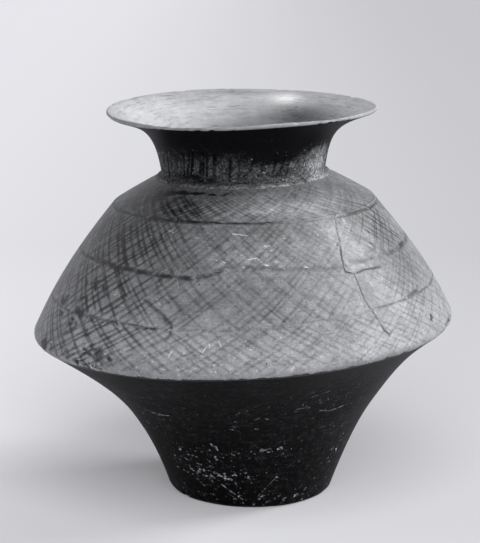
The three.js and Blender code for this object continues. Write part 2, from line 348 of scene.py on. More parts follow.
# One ring of clay, turned from its closed profile
def turnRing(name, profile):
    columns = meshing["columns"]
    angles = np.arange(columns) * 2 * np.pi / columns
    onAxis = profile[:, 0] < 1e-6
    points, rings = [], []
    for (radius, height), pole in zip(profile, onAxis):
        if pole:
            rings.append([len(points)] * columns)
            points.append((0.0, 0.0, height))
        else:
            rings.append(list(range(len(points), len(points) + columns)))
            points.extend(zip(radius * np.sin(angles), -radius * np.cos(angles), [height] * columns))
    faces = []
    for below, above in zip(rings, rings[1:] + ([] if onAxis.any() else rings[:1])):
        for i in range(columns):
            j = (i + 1) % columns
            faces.append(tuple(dict.fromkeys((below[i], below[j], above[j], above[i]))))
    return addMesh(name, points, faces)


# Cracks round the two mended sherds: degrees round the jar from its front towards +X, how far down
# the shoulder from 0 at its top line to 1 at the belly corner, and how wide the crack gapes in mm
mendedCracks = {
    "fork": (38.2, 0.405, 0.4),
    "stem": ((43.8, -0.029, 0.16), (41.5, 0.015, 0.16), (39.0, 0.105, 0.16), (37.8, 0.202, 0.18),
             (36.3, 0.262, 0.45), (35.2, 0.355, 0.35), (35.1, 0.38, 0.55)),
    "branch": ((43.2, 0.393, 0.45), (48.0, 0.402, 0.25), (53.0, 0.405, 0.08), (62, 0.41, 0.06),
               (78, 0.38, 0.06)),
    "down": ((38.2, 0.494, 0.2), (38.3, 0.6, 0.2), (39.6, 0.68, 0.16), (40.5, 0.757, 0.3),
             (41.2, 0.815, 0.35), (42.5, 0.852, 0.35)),
    "foot": ((44.2, 0.831, 0.3), (47, 0.81, 0.08), (53, 0.767, 0.06), (62, 0.666, 0.06), (69, 0.542, 0.06)),
    "back": ((90, 0.306, 0.06), (94, 0.183, 0.06), (90, 0.071, 0.06)),
    "pastTop": (-0.22, 0.06),
    "steps": 2.0,  # degrees between the cuts of a crack's edge
    "sharpest": 0.5,  # least cosine at which a corner is still moved square to both its sides
    "wedge": (0.5, 1.3),  # where a cut starts and ends, of the top line's and the belly's radius
}

shoulderSlope = math.hypot(1, (bellyCorner[0] - shoulderTop[0]) / jarForm["shoulderHeight"])


def sherdOutlines():
    names = ("fork", "stem", "branch", "down", "foot", "back", "pastTop")
    fork, stem, branch, down, foot, back, past = (mendedCracks[name] for name in names)
    upper = [fork, *branch, *back, (back[-1][0], *past), (stem[0][0], *past), *stem]
    lower = [down[-1], *foot, *branch[::-1], fork, *down[:-1]]
    return inSteps(upper), inSteps(lower)


def inSteps(outline):
    points = []
    for start, end in zip(outline, outline[1:] + outline[:1]):
        count = max(math.ceil(abs(end[0] - start[0]) / mendedCracks["steps"]), 1)
        points.extend(np.array(start) + (np.array(end) - start) * k / count for k in range(count))
    return np.array(points)


# A crack's outline as degrees and heights, each point moved by that share of the crack's width
def widen(outline, share):
    radius = shoulderTop[0] + (bellyCorner[0] - shoulderTop[0]) * outline[:, 1]
    around = np.radians(outline[:, 0]) * radius
    up = (shoulderTopHeight - outline[:, 1] * jarForm["shoulderHeight"]) * shoulderSlope
    flat = np.stack((around, up), axis=1)
    arriving = flat - np.roll(flat, 1, axis=0)
    arriving /= np.hypot(*arriving.T)[:, None]
    leaving = np.roll(arriving, -1, axis=0)
    outward = np.stack((arriving[:, 1] + leaving[:, 1], -arriving[:, 0] - leaving[:, 0]), axis=1)
    outward /= np.hypot(*outward.T)[:, None]
    mitre = (outward * np.stack((leaving[:, 1], -leaving[:, 0]), axis=1)).sum(axis=1)
    mitre = np.maximum(mitre, mendedCracks["sharpest"])
    moved = flat + outward * (share * outline[:, 2] / mitre)[:, None]
    return np.degrees(moved[:, 0] / radius), moved[:, 1] / shoulderSlope


# A wedge with a crack outline's shape, from inside the jar to well outside its wall
def crackWedge(outline, share):
    degrees, heights = widen(outline, share)
    angles = np.radians(degrees)
    points = []
    for radius in (shoulderTop[0] * mendedCracks["wedge"][0], bellyCorner[0] * mendedCracks["wedge"][1]):
        points.extend(zip(radius * np.sin(angles), -radius * np.cos(angles), heights))
    count = len(outline)
    faces = [tuple(range(count))[::-1], tuple(range(count, 2 * count))]
    faces += [(i, (i + 1) % count, (i + 1) % count + count, i + count) for i in range(count)]
    return addMesh("crackWedge", points, faces)


def cutPiece(piece, outline, share, operation):
    wedge = crackWedge(outline, share)
    cut = piece.modifiers.new("crack", "BOOLEAN")
    cut.object = wedge
    cut.operation = operation
    cut.solver = "MANIFOLD"
    made = bpy.data.meshes.new_from_object(piece.evaluated_get(bpy.context.evaluated_depsgraph_get()))
    piece.modifiers.clear()
    piece.data = made
    bpy.data.objects.remove(wedge)


# The shoulder's ring with its two mended sherds cut out of it, each side short of the crack's middle
def breakShoulder():
    wall = turnRing("shoulder", shoulderProfile())
    whole = wall.data
    sherds = []
    for name, outline in zip(("upperSherd", "lowerSherd"), sherdOutlines()):
        sherd = addObject(name, whole)
        cutPiece(sherd, outline, -0.5, "INTERSECT")
        cutPiece(wall, outline, 0.5, "DIFFERENCE")
        sherds.append(sherd)
    return [wall, *sherds]


# Degrees round the jar, brought between -180 and 180
def fold(degrees):
    return (degrees + 180) % 360 - 180


# A value that runs straight from each of its stations to the next
def between(stations, place):
    return np.interp(place, *np.array(stations, float).T)


def readArray(items, name, width=1, kind=float):
    values = np.empty(len(items) * width, kind)
    items.foreach_get(name, values)
    return values


# How the skin is searched, in mm: steps up it, how near a seen face lies to it, and how many places at once
skinSearch = {"step": 0.1, "seen": 0.4, "batch": 500}


# Where every corner of a piece lies: degrees round the jar, and millimetres up over its skin
def readSurface(piece):
    mesh = piece.data
    points = readArray(mesh.vertices, "co", 3).reshape(-1, 3)
    corners = readArray(mesh.loops, "vertex_index", kind=int)
    sizes = readArray(mesh.polygons, "loop_total", kind=int)
    faceOf = np.repeat(np.arange(len(sizes)), sizes)
    centres = np.stack([np.bincount(faceOf, points[corners, k]) / sizes for k in range(3)], axis=1)
    degrees, run, off = onSkin(points)
    faceDegrees, faceRun, faceOff = onSkin(centres)
    return {
        "mesh": mesh,
        "points": points,
        "degrees": degrees,
        "run": run,
        "faceOf": faceOf,
        "corners": corners,
        "faceDegrees": faceDegrees,
        "faceRun": faceRun,
        "faceRadius": np.hypot(centres[:, 0], centres[:, 1]),
        "faceSeen": faceOff < skinSearch["seen"],
        "cornerDegrees": faceDegrees[faceOf] + fold(degrees[corners] - faceDegrees[faceOf]),
    }


skinFine = stretch(skinOutline, 0, float(skinRun[-1]), skinSearch["step"])
skinFineRun = np.linspace(0, skinRun[-1], len(skinFine))


# Places that agree to a tenth of a millimetre are looked up once
def onSkin(points):
    radius = np.hypot(points[:, 0], points[:, 1])
    degrees = np.degrees(np.arctan2(points[:, 0], -points[:, 1]))
    rounded = np.round(np.stack((radius, points[:, 2]), axis=1), 1)
    places, back = np.unique(rounded, axis=0, return_inverse=True)
    run, off = np.empty(len(places)), np.empty(len(places))
    for i in range(0, len(places), skinSearch["batch"]):
        batch = slice(i, i + skinSearch["batch"])
        part = places[batch]
        apart = (part[:, :1] - skinFine[:, 0]) ** 2 + (part[:, 1:] - skinFine[:, 1]) ** 2
        nearest = apart.argmin(axis=1)
        run[batch] = skinFineRun[nearest]
        off[batch] = np.sqrt(apart[np.arange(len(part)), nearest])
    back = back.ravel()
    return degrees, run[back], off[back]


def writeField(mesh, name, domain, values):
    kind, key = ("FLOAT_VECTOR", "vector") if values.ndim == 2 else ("FLOAT", "value")
    layer = mesh.attributes.new(name, kind, domain)
    layer.data.foreach_set(key, values.astype(np.float32).ravel())


# Metres round the jar at a middling radius, and metres up its skin, for streaks that run round it
def writeSkin(surface):
    around = np.radians(surface["cornerDegrees"]) * shoulderTop[0]
    up = surface["run"][surface["corners"]]
    writeField(surface["mesh"], "skin", "CORNER", np.stack((around, up, 0 * up), axis=1) * mm)


# The search for the nearest stroke goes round the jar a sector at a time, in degrees, among the
# strokes that come near it. A stroke counts as nearer, by so many mm, for each unit of its width.
strokeSearch = {"wide": 10, "reach": 6, "favour": 0.45, "none": (99.0, -99.0, 0.0)}


# A stroke is its points as (degrees, millimetres up the skin), its strength and its width against
# the usual one. Each face takes the stroke nearest to its middle, and each of its corners keeps
# (millimetres beside that stroke, millimetres from its nearer end, strength).
def layStrokes(surface, name, strokes):
    segments = []
    for points, strength, width in strokes:
        path = np.array(points, float)
        radius = radiusAt(path[:, 1])
        around = np.radians(np.diff(path[:, 0])) * (radius[1:] + radius[:-1]) / 2
        steps = np.hypot(around, np.diff(path[:, 1]))
        before = np.concatenate(((0,), np.cumsum(steps)))
        for k in range(len(path) - 1):
            segments.append((*path[k], *path[k + 1], before[k], before[-1], strength, width))
    segments = np.array(segments)
    chosen = nearestStrokes(surface, segments)[surface["faceOf"]]
    values = np.tile(strokeSearch["none"], (len(chosen), 1))
    used = np.flatnonzero(chosen >= 0)
    laid = segments[chosen[used]]
    _, beside, along = besideSegments(
        surface["cornerDegrees"][used],
        surface["run"][surface["corners"][used]],
        surface["faceRadius"][surface["faceOf"][used]],
        laid,
    )
    arc = laid[:, 4] + along
    values[used, 0] = beside / laid[:, 7]
    values[used, 1] = np.minimum(arc, laid[:, 5] - arc)
    values[used, 2] = laid[:, 6]
    writeField(surface["mesh"], name, "CORNER", values)


def nearestStrokes(surface, segments):
    degrees = surface["faceDegrees"]
    chosen = np.full(len(degrees), -1)
    wide = strokeSearch["wide"]
    reach = wide / 2 + strokeSearch["reach"]
    favour = strokeSearch["favour"] * segments[:, 7]
    for start in range(-180, 180, wide):
        faces = np.flatnonzero(surface["faceSeen"] & (degrees >= start) & (degrees < start + wide))
        first = fold(segments[:, 0] - start - wide / 2)
        last = first + segments[:, 2] - segments[:, 0]
        near = np.flatnonzero((np.minimum(first, last) < reach) & (np.maximum(first, last) > -reach))
        if len(faces) and len(near):
            places = (surface[name][faces, None] for name in ("faceDegrees", "faceRun", "faceRadius"))
            apart, _, _ = besideSegments(*places, segments[near][None])
            chosen[faces] = near[(apart - favour[near]).argmin(axis=1)]
    return chosen


# Distances from points of the skin to segments, measured flat round each point
def besideSegments(degrees, run, radius, segments):
    startX = np.radians(fold(segments[..., 0] - degrees)) * radius
    startY = segments[..., 1] - run
    acrossX = np.radians(segments[..., 2] - segments[..., 0]) * radius
    acrossY = segments[..., 3] - segments[..., 1]
    length = np.maximum(np.hypot(acrossX, acrossY), 1e-3)
    along = -(startX * acrossX + startY * acrossY) / length
    beside = (acrossY * startX - acrossX * startY) / length
    past = np.maximum(np.maximum(-along, along - length), 0)
    return np.hypot(beside, past), beside, along


def radiusAt(run):
    return np.interp(run, skinFineRun, skinFine[:, 0])


# The hand's unevenness: slow waves round the jar and up it, nearly all of them into the clay
handWaves = {
    "depth": 0.7, "inset": 0.42, "seed": 11, "count": 14, "round": (2, 11),
    "rise": (60, 260), "share": (0.4, 1.0),
}

# How the lip waves up and down, in mm: its front dips, it is twisted across, to the right of its
# front it lifts again, at and over so many degrees, and all of it is so far down. It starts so many
# mm above the neck's foot.
lipWave = {
    "start": 12, "front": -0.75, "oval": 0.13, "twist": 0.98,
    "lift": 0.8, "liftAt": 17, "liftWide": 17, "down": 0.36,
}

# Chips knocked off the edges: how many, where (mm up the skin from the edge), their radius and depth.
# A blunt chip has a flat floor.
chips = {
    "seed": 8,
    "blunt": 1.4,
    "footMiddle": 1.5,
    "belly": {"count": 150, "run": (-1.5, 2.0), "radius": (1.5, 4.0), "depth": (0.1, 0.45)},
    "lip": {"count": 90, "run": (-1.6, 1.2), "radius": (1.4, 3.6), "depth": (0.15, 0.7)},
    "foot": {"count": 60, "run": (-1.0, 3.0), "radius": (1.5, 3.5), "depth": (0.15, 0.6)},
}


def strikeChips():
    draw = np.random.default_rng(chips["seed"])
    edges = {"belly": runAt(jarForm["bellyHeight"]), "lip": lipRun, "foot": runAt(chips["footMiddle"])}
    struck = []
    for edge, middle in edges.items():
        look = chips[edge]
        for _ in range(look["count"]):
            size = draw.uniform(0, 1) ** 2
            place = (draw.uniform(-180, 180), middle + draw.uniform(*look["run"]))
            sizes = (low + size * (high - low) for low, high in (look["radius"], look["depth"]))
            struck.append((*place, *sizes))
    return struck


def makeWaves():
    draw = np.random.default_rng(handWaves["seed"])
    count = handWaves["count"]
    return list(zip(
        draw.integers(*handWaves["round"], count),
        2 * np.pi / draw.uniform(*handWaves["rise"], count) * draw.choice((-1, 1), count),
        draw.uniform(0, 2 * np.pi, count),
        draw.uniform(*handWaves["share"], count),
    ))


struckChips = strikeChips()
waves = makeWaves()


# How far the skin is pushed into the clay, in mm, where it is uneven or chipped
def dentAt(surface):
    degrees, run = surface["degrees"], surface["run"]
    total = np.zeros(len(degrees))
    for turns, rise, start, share in waves:
        total += share * np.sin(np.radians(degrees) * turns + run * rise + start)
    depth = handWaves["depth"] * (handWaves["inset"] + total / np.array(waves)[:, 3].sum())
    radius = np.hypot(surface["points"][:, 0], surface["points"][:, 1])
    for chipDegrees, chipRun, chipRadius, deep in struckChips:
        apart = np.hypot(np.radians(fold(degrees - chipDegrees)) * radius, run - chipRun)
        depth += deep * np.clip(chips["blunt"] - chips["blunt"] * (apart / chipRadius) ** 2, 0, 1)
    return depth


# Dents the skin square to itself, waves the lip, then leans the jar and turns it to metres
def shapeByHand(surface, standing):
    depth = dentAt(surface)
    slopeR, slopeZ = np.gradient(skinFine[:, 0]), np.gradient(skinFine[:, 1])
    steep = np.hypot(slopeR, slopeZ)
    outR = np.interp(surface["run"], skinFineRun, slopeZ / steep)
    outZ = np.interp(surface["run"], skinFineRun, -slopeR / steep)
    angle = np.radians(surface["degrees"])
    off = surface["points"].copy()
    off[:, 0] -= depth * outR * np.sin(angle)
    off[:, 1] += depth * outR * np.cos(angle)
    off[:, 2] -= depth * outZ
    if standing:
        off[:, 2] = np.maximum(off[:, 2], 0)
    start = lipWave["start"]
    flare = np.clip((off[:, 2] - neckFootHeight - start) / (jarForm["neckHeight"] - start), 0, 1)
    waved = lipWave["front"] * np.cos(angle) + lipWave["oval"] * np.cos(2 * angle)
    waved += lipWave["twist"] * np.sin(2 * angle)
    aside = (surface["degrees"] - lipWave["liftAt"]) / lipWave["liftWide"]
    waved += lipWave["lift"] * np.exp(-(aside**2))
    off[:, 2] += flare**2 * (waved - lipWave["down"])
    height, sag, tilt = np.array(jarForm["lean"]).T
    station = np.clip(np.searchsorted(height, off[:, 2], side="right") - 1, 0, len(height) - 2)
    share = np.clip((off[:, 2] - height[station]) / (height[station + 1] - height[station]), 0, 1)
    ease = share * share * (3 - 2 * share)
    sagHere, tiltHere = (lean[station] + ease * (lean[station + 1] - lean[station]) for lean in (sag, tilt))
    off[:, 2] += tiltHere * off[:, 0]
    off[:, 0] -= sagHere
    surface["mesh"].vertices.foreach_set("co", (off * mm).astype(np.float32).ravel())
    surface["mesh"].update()


# Sets numbers, and links sockets, or nodes by their first output
def plugIn(tree, node, inputs):
    for key, value in inputs.items():
        if isinstance(value, bpy.types.Node):
            value = next(output for output in value.outputs if output.enabled)
        if isinstance(value, bpy.types.NodeSocket):
            tree.links.new(value, node.inputs[key])
        else:
            node.inputs[key].default_value = value


# One node with its settings and what goes into it
def addNode(tree, kind, inputs=None, **settings):
    node = tree.nodes.new("ShaderNode" + kind)
    for name, value in settings.items():
        setattr(node, name, value)
    plugIn(tree, node, inputs or {})
    return node


def hexColour(text):
    parts = [int(text[i : i + 2], 16) / 255 for i in (1, 3, 5)]
    return (*(p / 12.92 if p <= 0.04045 else ((p + 0.055) / 1.055) ** 2.4 for p in parts), 1)


def cloudOf(where, size, detail=3, roughness=0.6):
    return {"Vector": where, "Scale": 1 / (size * mm), "Detail": detail, "Roughness": roughness}


# Clouds that swing as far below 0 as above it, by up to an amount
def swingOf(tree, cloud, amount):
    cloud = addNode(tree, "TexNoise", cloud)
    return addNode(tree, "Math", {0: cloud, 1: 2 * amount, 2: -amount}, operation="MULTIPLY_ADD")


# 1 in the middle of a laid stroke, 0 beside it and past its ends, fainter where the tool skipped
def strokeMask(tree, where, layer):
    laid = addNode(tree, "Attribute", attribute_name=layer["name"])
    parts = addNode(tree, "SeparateXYZ", {0: laid.outputs["Vector"]})
    moved = swingOf(tree, cloudOf(where, layer["shakeSize"]), layer["shake"])
    beside = addNode(tree, "Math", {0: parts.outputs["X"], 1: moved}, operation="ADD")
    apart = addNode(tree, "Math", {0: beside}, operation="ABSOLUTE")
    inner, outer = layer["halfWidth"] - layer["soft"], layer["halfWidth"] + layer["soft"]
    smooth = {"interpolation_type": "SMOOTHSTEP"}
    mask = addNode(tree, "MapRange", {0: apart, 1: inner, 2: outer, 3: 1, 4: 0}, **smooth)
    ends = addNode(tree, "MapRange", {0: parts.outputs["Y"], 1: 0, 2: layer["taper"]}, **smooth)
    skips = addNode(tree, "TexNoise", cloudOf(where, layer["skipSize"], detail=4))
    low, high = layer["skips"]
    kept = addNode(tree, "MapRange", {0: skips, 1: low, 2: high, 3: layer["least"], 4: 1})
    for share in (ends, kept, parts.outputs["Z"]):
        mask = addNode(tree, "Math", {0: mask, 1: share}, operation="MULTIPLY")
    return mask


# 1 where a ragged patch lies: a given amount and clouds together pass its edge
def patchMask(tree, where, amount, patch):
    pushed = swingOf(tree, cloudOf(where, patch["size"], detail=6, roughness=0.68), patch["ragged"])
    total = addNode(tree, "Math", {0: amount, 1: patch["sign"], 2: pushed}, operation="MULTIPLY_ADD")
    edge = {0: total, 1: patch["from"], 2: patch["to"]}
    mask = addNode(tree, "MapRange", edge, interpolation_type="SMOOTHSTEP")
    return addNode(tree, "Math", {0: mask, 1: patch["most"]}, operation="MULTIPLY")


# Small ragged spots where the surface has flaked, of all sizes up to the radius, a share of them kept
def speckMask(tree, where, layer):
    radius, most = layer["radius"], layer["radius"] / layer["spacing"]
    ragged = addNode(tree, "TexNoise", cloudOf(where, radius / 1.5, detail=2))
    push = {0: ragged.outputs["Color"], "Scale": radius * mm}
    pushed = addNode(tree, "VectorMath", push, operation="SCALE")
    moved = addNode(tree, "VectorMath", {0: where, 1: pushed}, operation="ADD")
    cells = addNode(tree, "TexVoronoi", {"Vector": moved, "Scale": 1 / (layer["spacing"] * mm)})
    chance = addNode(tree, "SeparateColor", {0: cells.outputs["Color"]})
    size = addNode(tree, "Math", {0: chance.outputs["Green"], 1: most}, operation="MULTIPLY")
    past = addNode(tree, "Math", {0: cells.outputs["Distance"], 1: size}, operation="SUBTRACT")
    dot = addNode(tree, "MapRange", {0: past, 1: -most * 0.5, 2: 0, 3: 1, 4: 0})
    kept = addNode(tree, "Math", {0: chance.outputs["Red"], 1: layer["share"]}, operation="LESS_THAN")
    return addNode(tree, "Math", {0: dot, 1: kept}, operation="MULTIPLY")


# Fired clay. Its shade, 0 to 1, starts from the given tone and is clouded and streaked. Soot and wear
# cover it in ragged patches, which in places are painted shade and light; strokes darken and polish it, and
# specks and scratches break it.
def firedClay(name, look):
    material = bpy.data.materials.new(name)
    material.use_nodes = True
    tree = material.node_tree
    where = addNode(tree, "TexCoord").outputs["Object"]
    skin, cover, painted = (
        addNode(tree, "Attribute", attribute_name=field).outputs[output]
        for field, output in (("skin", "Vector"), ("cover", "Fac"), ("tone", "Vector"))
    )
    tone = addNode(tree, "SeparateXYZ", {0: painted})
    shade, rough = tone.outputs["X"], look["roughness"]
    clouds = [(cloudOf(where, size, detail), amount) for size, amount, detail in look["mottles"]]
    for length, thick, amount in look["streaks"]:
        drawn = addNode(tree, "VectorMath", {0: skin, 1: (thick / length, 1, 1)}, operation="MULTIPLY")
        clouds.append((cloudOf(drawn, thick), amount))
    for cloud, amount in clouds:
        shade = addNode(tree, "Math", {0: shade, 1: swingOf(tree, cloud, amount)}, operation="ADD")
    for patch in look["patches"]:
        mask = patchMask(tree, where, cover, patch)
        shade = addNode(tree, "Mix", {0: mask, 2: shade, 3: patch["shade"]})
        rough = addNode(tree, "Mix", {0: mask, 2: rough, 3: patch["roughness"]})
    height = addNode(tree, "Math", {0: shade, 1: look["relief"]}, operation="MULTIPLY")
    for layer in look["strokes"]:
        mask = strokeMask(tree, where, layer)
        if layer["shownBy"] == "tone":
            mask = addNode(tree, "Math", {0: mask, 1: tone.outputs["Z"]}, operation="MULTIPLY")
        left = addNode(tree, "Math", {0: mask, 1: -layer["darker"], 2: 1}, operation="MULTIPLY_ADD")
        left = addNode(tree, "Math", {0: left, 1: leastShade}, operation="MAXIMUM")
        shade = addNode(tree, "Math", {0: shade, 1: left}, operation="MULTIPLY")
        shade = addNode(tree, "Math", {0: mask, 1: layer["lighter"], 2: shade}, operation="MULTIPLY_ADD")
        rough = addNode(tree, "Math", {0: mask, 1: layer["rougher"], 2: rough}, operation="MULTIPLY_ADD")
        height = addNode(tree, "Math", {0: mask, 1: -layer["deep"], 2: height}, operation="MULTIPLY_ADD")
    for layer in look["specks"]:
        mask = speckMask(tree, where, layer)
        mask = addNode(tree, "Math", {0: mask, 1: tone.outputs["Y"]}, operation="MULTIPLY")
        shade = addNode(tree, "Mix", {0: mask, 2: shade, 3: layer["shade"]})
        rough = addNode(tree, "Mix", {0: mask, 2: rough, 3: speckRoughness})
        height = addNode(tree, "Math", {0: mask, 1: -layer["deep"], 2: height}, operation="MULTIPLY_ADD")
    colour = addNode(tree, "ValToRGB", {0: shade})
    stops = colour.color_ramp.elements
    for place, text in clayColours:
        stops.new(place).color = hexColour(text)
    stops.remove(stops[0])
    stops.remove(stops[-1])
    plugIn(tree, tree.nodes["Principled BSDF"], {
        "Base Color": colour.outputs["Color"],
        "Normal": addNode(tree, "Bump", {"Height": height, "Distance": mm, "Strength": 1.0}),
        "Roughness": rough,
        "IOR": look["ior"],
        "Specular IOR Level": look["specular"],
    })
    return material


clayColours = (
    (0.0, "#050506"), (0.12, "#1e1e20"), (0.25, "#3f4042"), (0.4, "#656668"),
    (0.55, "#8b8c8f"), (0.7, "#b2b3b6"), (0.85, "#d8d8dc"), (1.0, "#f6f6fa"),
)
leastShade = 0.05  # share of the clay's shade that a stroke leaves
speckRoughness = 0.75

# What every tool mark has: half its width and how soft its edge is, how far its edge shakes, where
# the tool skipped and the least that it left there, and how its ends taper, in mm where it is a size
markBase = {"shownBy": "all", "shake": 0.5, "shakeSize": 9, "skipSize": 5, "skips": (0.38, 0.6), "taper": 3,
            "darker": 0, "lighter": 0, "rougher": 0, "deep": 0}
latticeMark = markBase | {"shownBy": "tone", "soft": 0.65, "skipSize": 7, "rougher": -0.12, "deep": 0.06}
levelMark = markBase | {"name": "level", "shake": 0.6, "shakeSize": 12, "skipSize": 9, "deep": 0.05}
hairScratch = markBase | {"name": "scratches", "halfWidth": 0.16, "soft": 0.2, "shake": 0.3, "shakeSize": 6,
                          "skipSize": 3, "least": 0.0, "taper": 1.5, "rougher": 0.15, "deep": 0.03}

# How soot and worn clay spread over a fired surface, and in places painted shade and painted light
sootAndShadePatch = {"sign": 1, "size": 7, "ragged": 1.3, "from": 0.42, "to": 0.72, "shade": 0.07, "roughness": 0.42,
             "most": 0.9}
wornAndLitPatch = {"sign": -1, "size": 5, "ragged": 1.3, "from": 0.42, "to": 0.8, "shade": 0.8, "roughness": 0.65,
             "most": 0.75}

# Burnished earthenware, fired grey: satin ground with darker, shinier strokes, pale hair scratches
greyBurnished = {
    "mottles": ((45, 0.09, 3), (12, 0.12, 4), (4, 0.13, 4), (1.5, 0.11, 2)),
    "streaks": ((9, 1.1, 0.1),),
    "patches": (sootAndShadePatch, wornAndLitPatch),
    "roughness": 0.5,
    "relief": 0.3,
    "ior": 1.5,
    "specular": 0.35,
    "strokes": (
        latticeMark | {"name": "falling", "halfWidth": 0.75, "least": 0.35, "darker": 0.8},
        latticeMark | {"name": "rising", "halfWidth": 0.7, "least": 0.3, "darker": 0.75},
        levelMark | {"halfWidth": 0.9, "soft": 0.8, "least": 0.4, "taper": 5, "darker": 0.88, "rougher": -0.1,
                     "deep": 0.08},
        hairScratch | {"lighter": 0.5},
    ),
    "specks": (
        {"spacing": 5, "radius": 0.8, "share": 0.2, "shade": 0.85, "deep": 0.05},
        {"spacing": 5, "radius": 0.9, "share": 0.28, "shade": 0.22, "deep": 0.08},
    ),
}

# Carbon-black burnish: near black with a low gloss, and pale flakes where it has come away
blackBurnished = {
    "mottles": ((25, 0.08, 3), (5, 0.22, 5), (1.5, 0.22, 2)),
    "streaks": ((12, 1.0, 0.06),),
    "patches": (
        wornAndLitPatch | {"size": 3.2, "ragged": 1.5, "from": 0.62, "to": 0.72, "shade": 0.7, "most": 0.9},
    ),
    "roughness": 0.42,
    "relief": 0.4,
    "ior": 1.5,
    "specular": 0.05,
    "strokes": (
        levelMark | {"halfWidth": 0.8, "soft": 0.7, "skipSize": 7, "least": 0.1, "taper": 6, "lighter": 0.1,
                     "rougher": 0.08, "deep": 0.02},
        hairScratch | {"halfWidth": 0.22, "shake": 0.4, "shakeSize": 2.5, "skipSize": 2, "least": 0.15,
                       "taper": 1.0, "lighter": 0.95, "rougher": 0.2, "deep": 0.05},
    ),
    "specks": ({"spacing": 3.4, "radius": 0.9, "share": 0.38, "shade": 0.5, "deep": 0.08},),
}

# Worn, smoked neck clay: dull dark grey, with upright strokes rubbed in while it was leather hard
smokedClay = {
    "mottles": ((20, 0.18, 3), (5, 0.38, 5), (1.5, 0.42, 2)),
    "streaks": ((6, 1.0, 0.1),),
    # Its soot patch also lays the near-black band under the rim's flare, which is partly painted shade
    "patches": (sootAndShadePatch | {"size": 5, "ragged": 1.35, "from": 0.15, "to": 1.05, "shade": 0.045}, wornAndLitPatch),
    "roughness": 0.5,
    "relief": 0.4,
    "ior": 1.2,
    "specular": 0.1,
    "strokes": (
        markBase | {"name": "uprights", "shownBy": "tone", "halfWidth": 0.9, "soft": 0.6, "shakeSize": 8,
                    "skipSize": 6, "least": 0.35, "taper": 4, "darker": 0.95, "rougher": -0.1, "deep": 0.08},
        markBase | {"name": "level", "halfWidth": 0.6, "soft": 0.6, "least": 0.1, "taper": 4, "darker": 0.4,
                    "deep": 0.05},
        hairScratch | {"halfWidth": 0.26, "soft": 0.25, "lighter": 0.55},
    ),
    "specks": ({"spacing": 3.2, "radius": 0.8, "share": 0.55, "shade": 0.65, "deep": 0.08},),
}

# Pale worn rim clay: matt and chalky, wiped round with a wet hand, soot left in its hollows; inside, its soot
# and wear patches also paint shade on the right and light on the left
paleClay = {
    "mottles": ((30, 0.08, 3), (8, 0.06, 5), (2.0, 0.035, 2)),
    "streaks": ((26, 3.0, 0.05), (14, 1.2, 0.035)),
    "patches": (sootAndShadePatch | {"size": 9, "shade": 0.2, "most": 0.6}, wornAndLitPatch | {"shade": 0.9}),
    "roughness": 0.62,
    "relief": 0.4,
    "ior": 1.45,
    "specular": 0.15,
    "strokes": (
        levelMark | {"halfWidth": 0.7, "soft": 0.9, "shakeSize": 14, "least": 0, "taper": 8, "darker": 0.22},
        hairScratch | {"lighter": 0.2},
    ),
    "specks": ({"spacing": 7, "radius": 1.1, "share": 0.25, "shade": 0.3, "deep": 0.1},),
}

# Burnished lines round the shoulder: their height, and how strongly each shows, by degrees
shoulderLines = {
    "top": {
        "height": (
            (-180, 212.5), (-28, 213.2), (-5, 212.7), (5, 212.1), (33, 210.6), (70, 209.4), (180, 212),
        ),
        "show": (
            (-180, 0.7), (-70, 0.9), (-45, 1.1), (12, 1.0), (20, 0.4), (40, 0.35), (46, 0.9), (180, 0.7),
        ),
        "width": 0.9,
    },
    "middle": {
        "height": (
            (-180, 183), (-45, 183), (-30, 182), (-16, 180.8), (-10, 183.7), (-4.5, 187.2), (0, 187.6),
            (10, 184.5), (30, 182), (180, 182),
        ),
        "show": (
            (-180, 0.7), (-70, 1), (-15, 0.9), (-5, 0.4), (30, 0.3), (50, 0.4), (63, 0.9), (90, 0.9),
            (180, 0.7),
        ),
        "width": 1.5,
    },
    "low": {
        "height": ((-180, 152), (-40, 151.5), (0, 151), (40, 153), (180, 152)),
        "show": (
            (-180, 0.6), (-70, 0.7), (-45, 0.4), (-32, 1), (-24, 0.6), (-15, 0.15), (50, 0.15), (60, 0.9),
            (80, 0.6), (180, 0.6),
        ),
        "width": 1.0,
    },
}

# The lattice between those lines: how far apart its strokes are round the jar, in mm, and how far
# from level the ones that fall to the right and the ones that rise run
latticeZones = (
    {"from": "edge", "to": "low", "apart": 8.2, "falling": 34, "rising": 31},
    {"from": "low", "to": "middle", "apart": 7.0, "falling": 44, "rising": 41},
    {"from": "middle", "to": "top", "apart": 5.9, "falling": 46, "rising": 43},
    {"from": "top", "to": "ridge", "apart": 4.1, "falling": 42, "rising": 39},
)

# The hand that laid it: how far its strokes miss their ends (mm), their place (shares of the spacing)
# and their angle (degrees), how far that drifts round the jar, how far they bow (mm), how many stop
# short and by how much of their length, and how they press by degrees round the jar
latticeHand = {
    "seed": 4, "ends": 1.4, "place": 0.06, "turn": 1.0, "drift": 1.7, "bow": 0.5, "short": 0.2,
    "cut": (0.2, 0.5), "strength": (0.55, 1.0), "width": (0.75, 1.15), "overEdge": 1.5, "underRidge": 3.0,
    "press": ((-180, 1.1), (-55, 1.4), (-35, 1.25), (-10, 1.3), (35, 1.15), (60, 0.85), (180, 1.1)),
}
edgeLines = {
    "edge": jarForm["bellyHeight"] + latticeHand["overEdge"],
    "ridge": neckFootHeight - latticeHand["underRidge"],
}


def lineRun(name, degrees):
    return runAt(edgeLines[name] if name in edgeLines else between(shoulderLines[name]["height"], degrees))


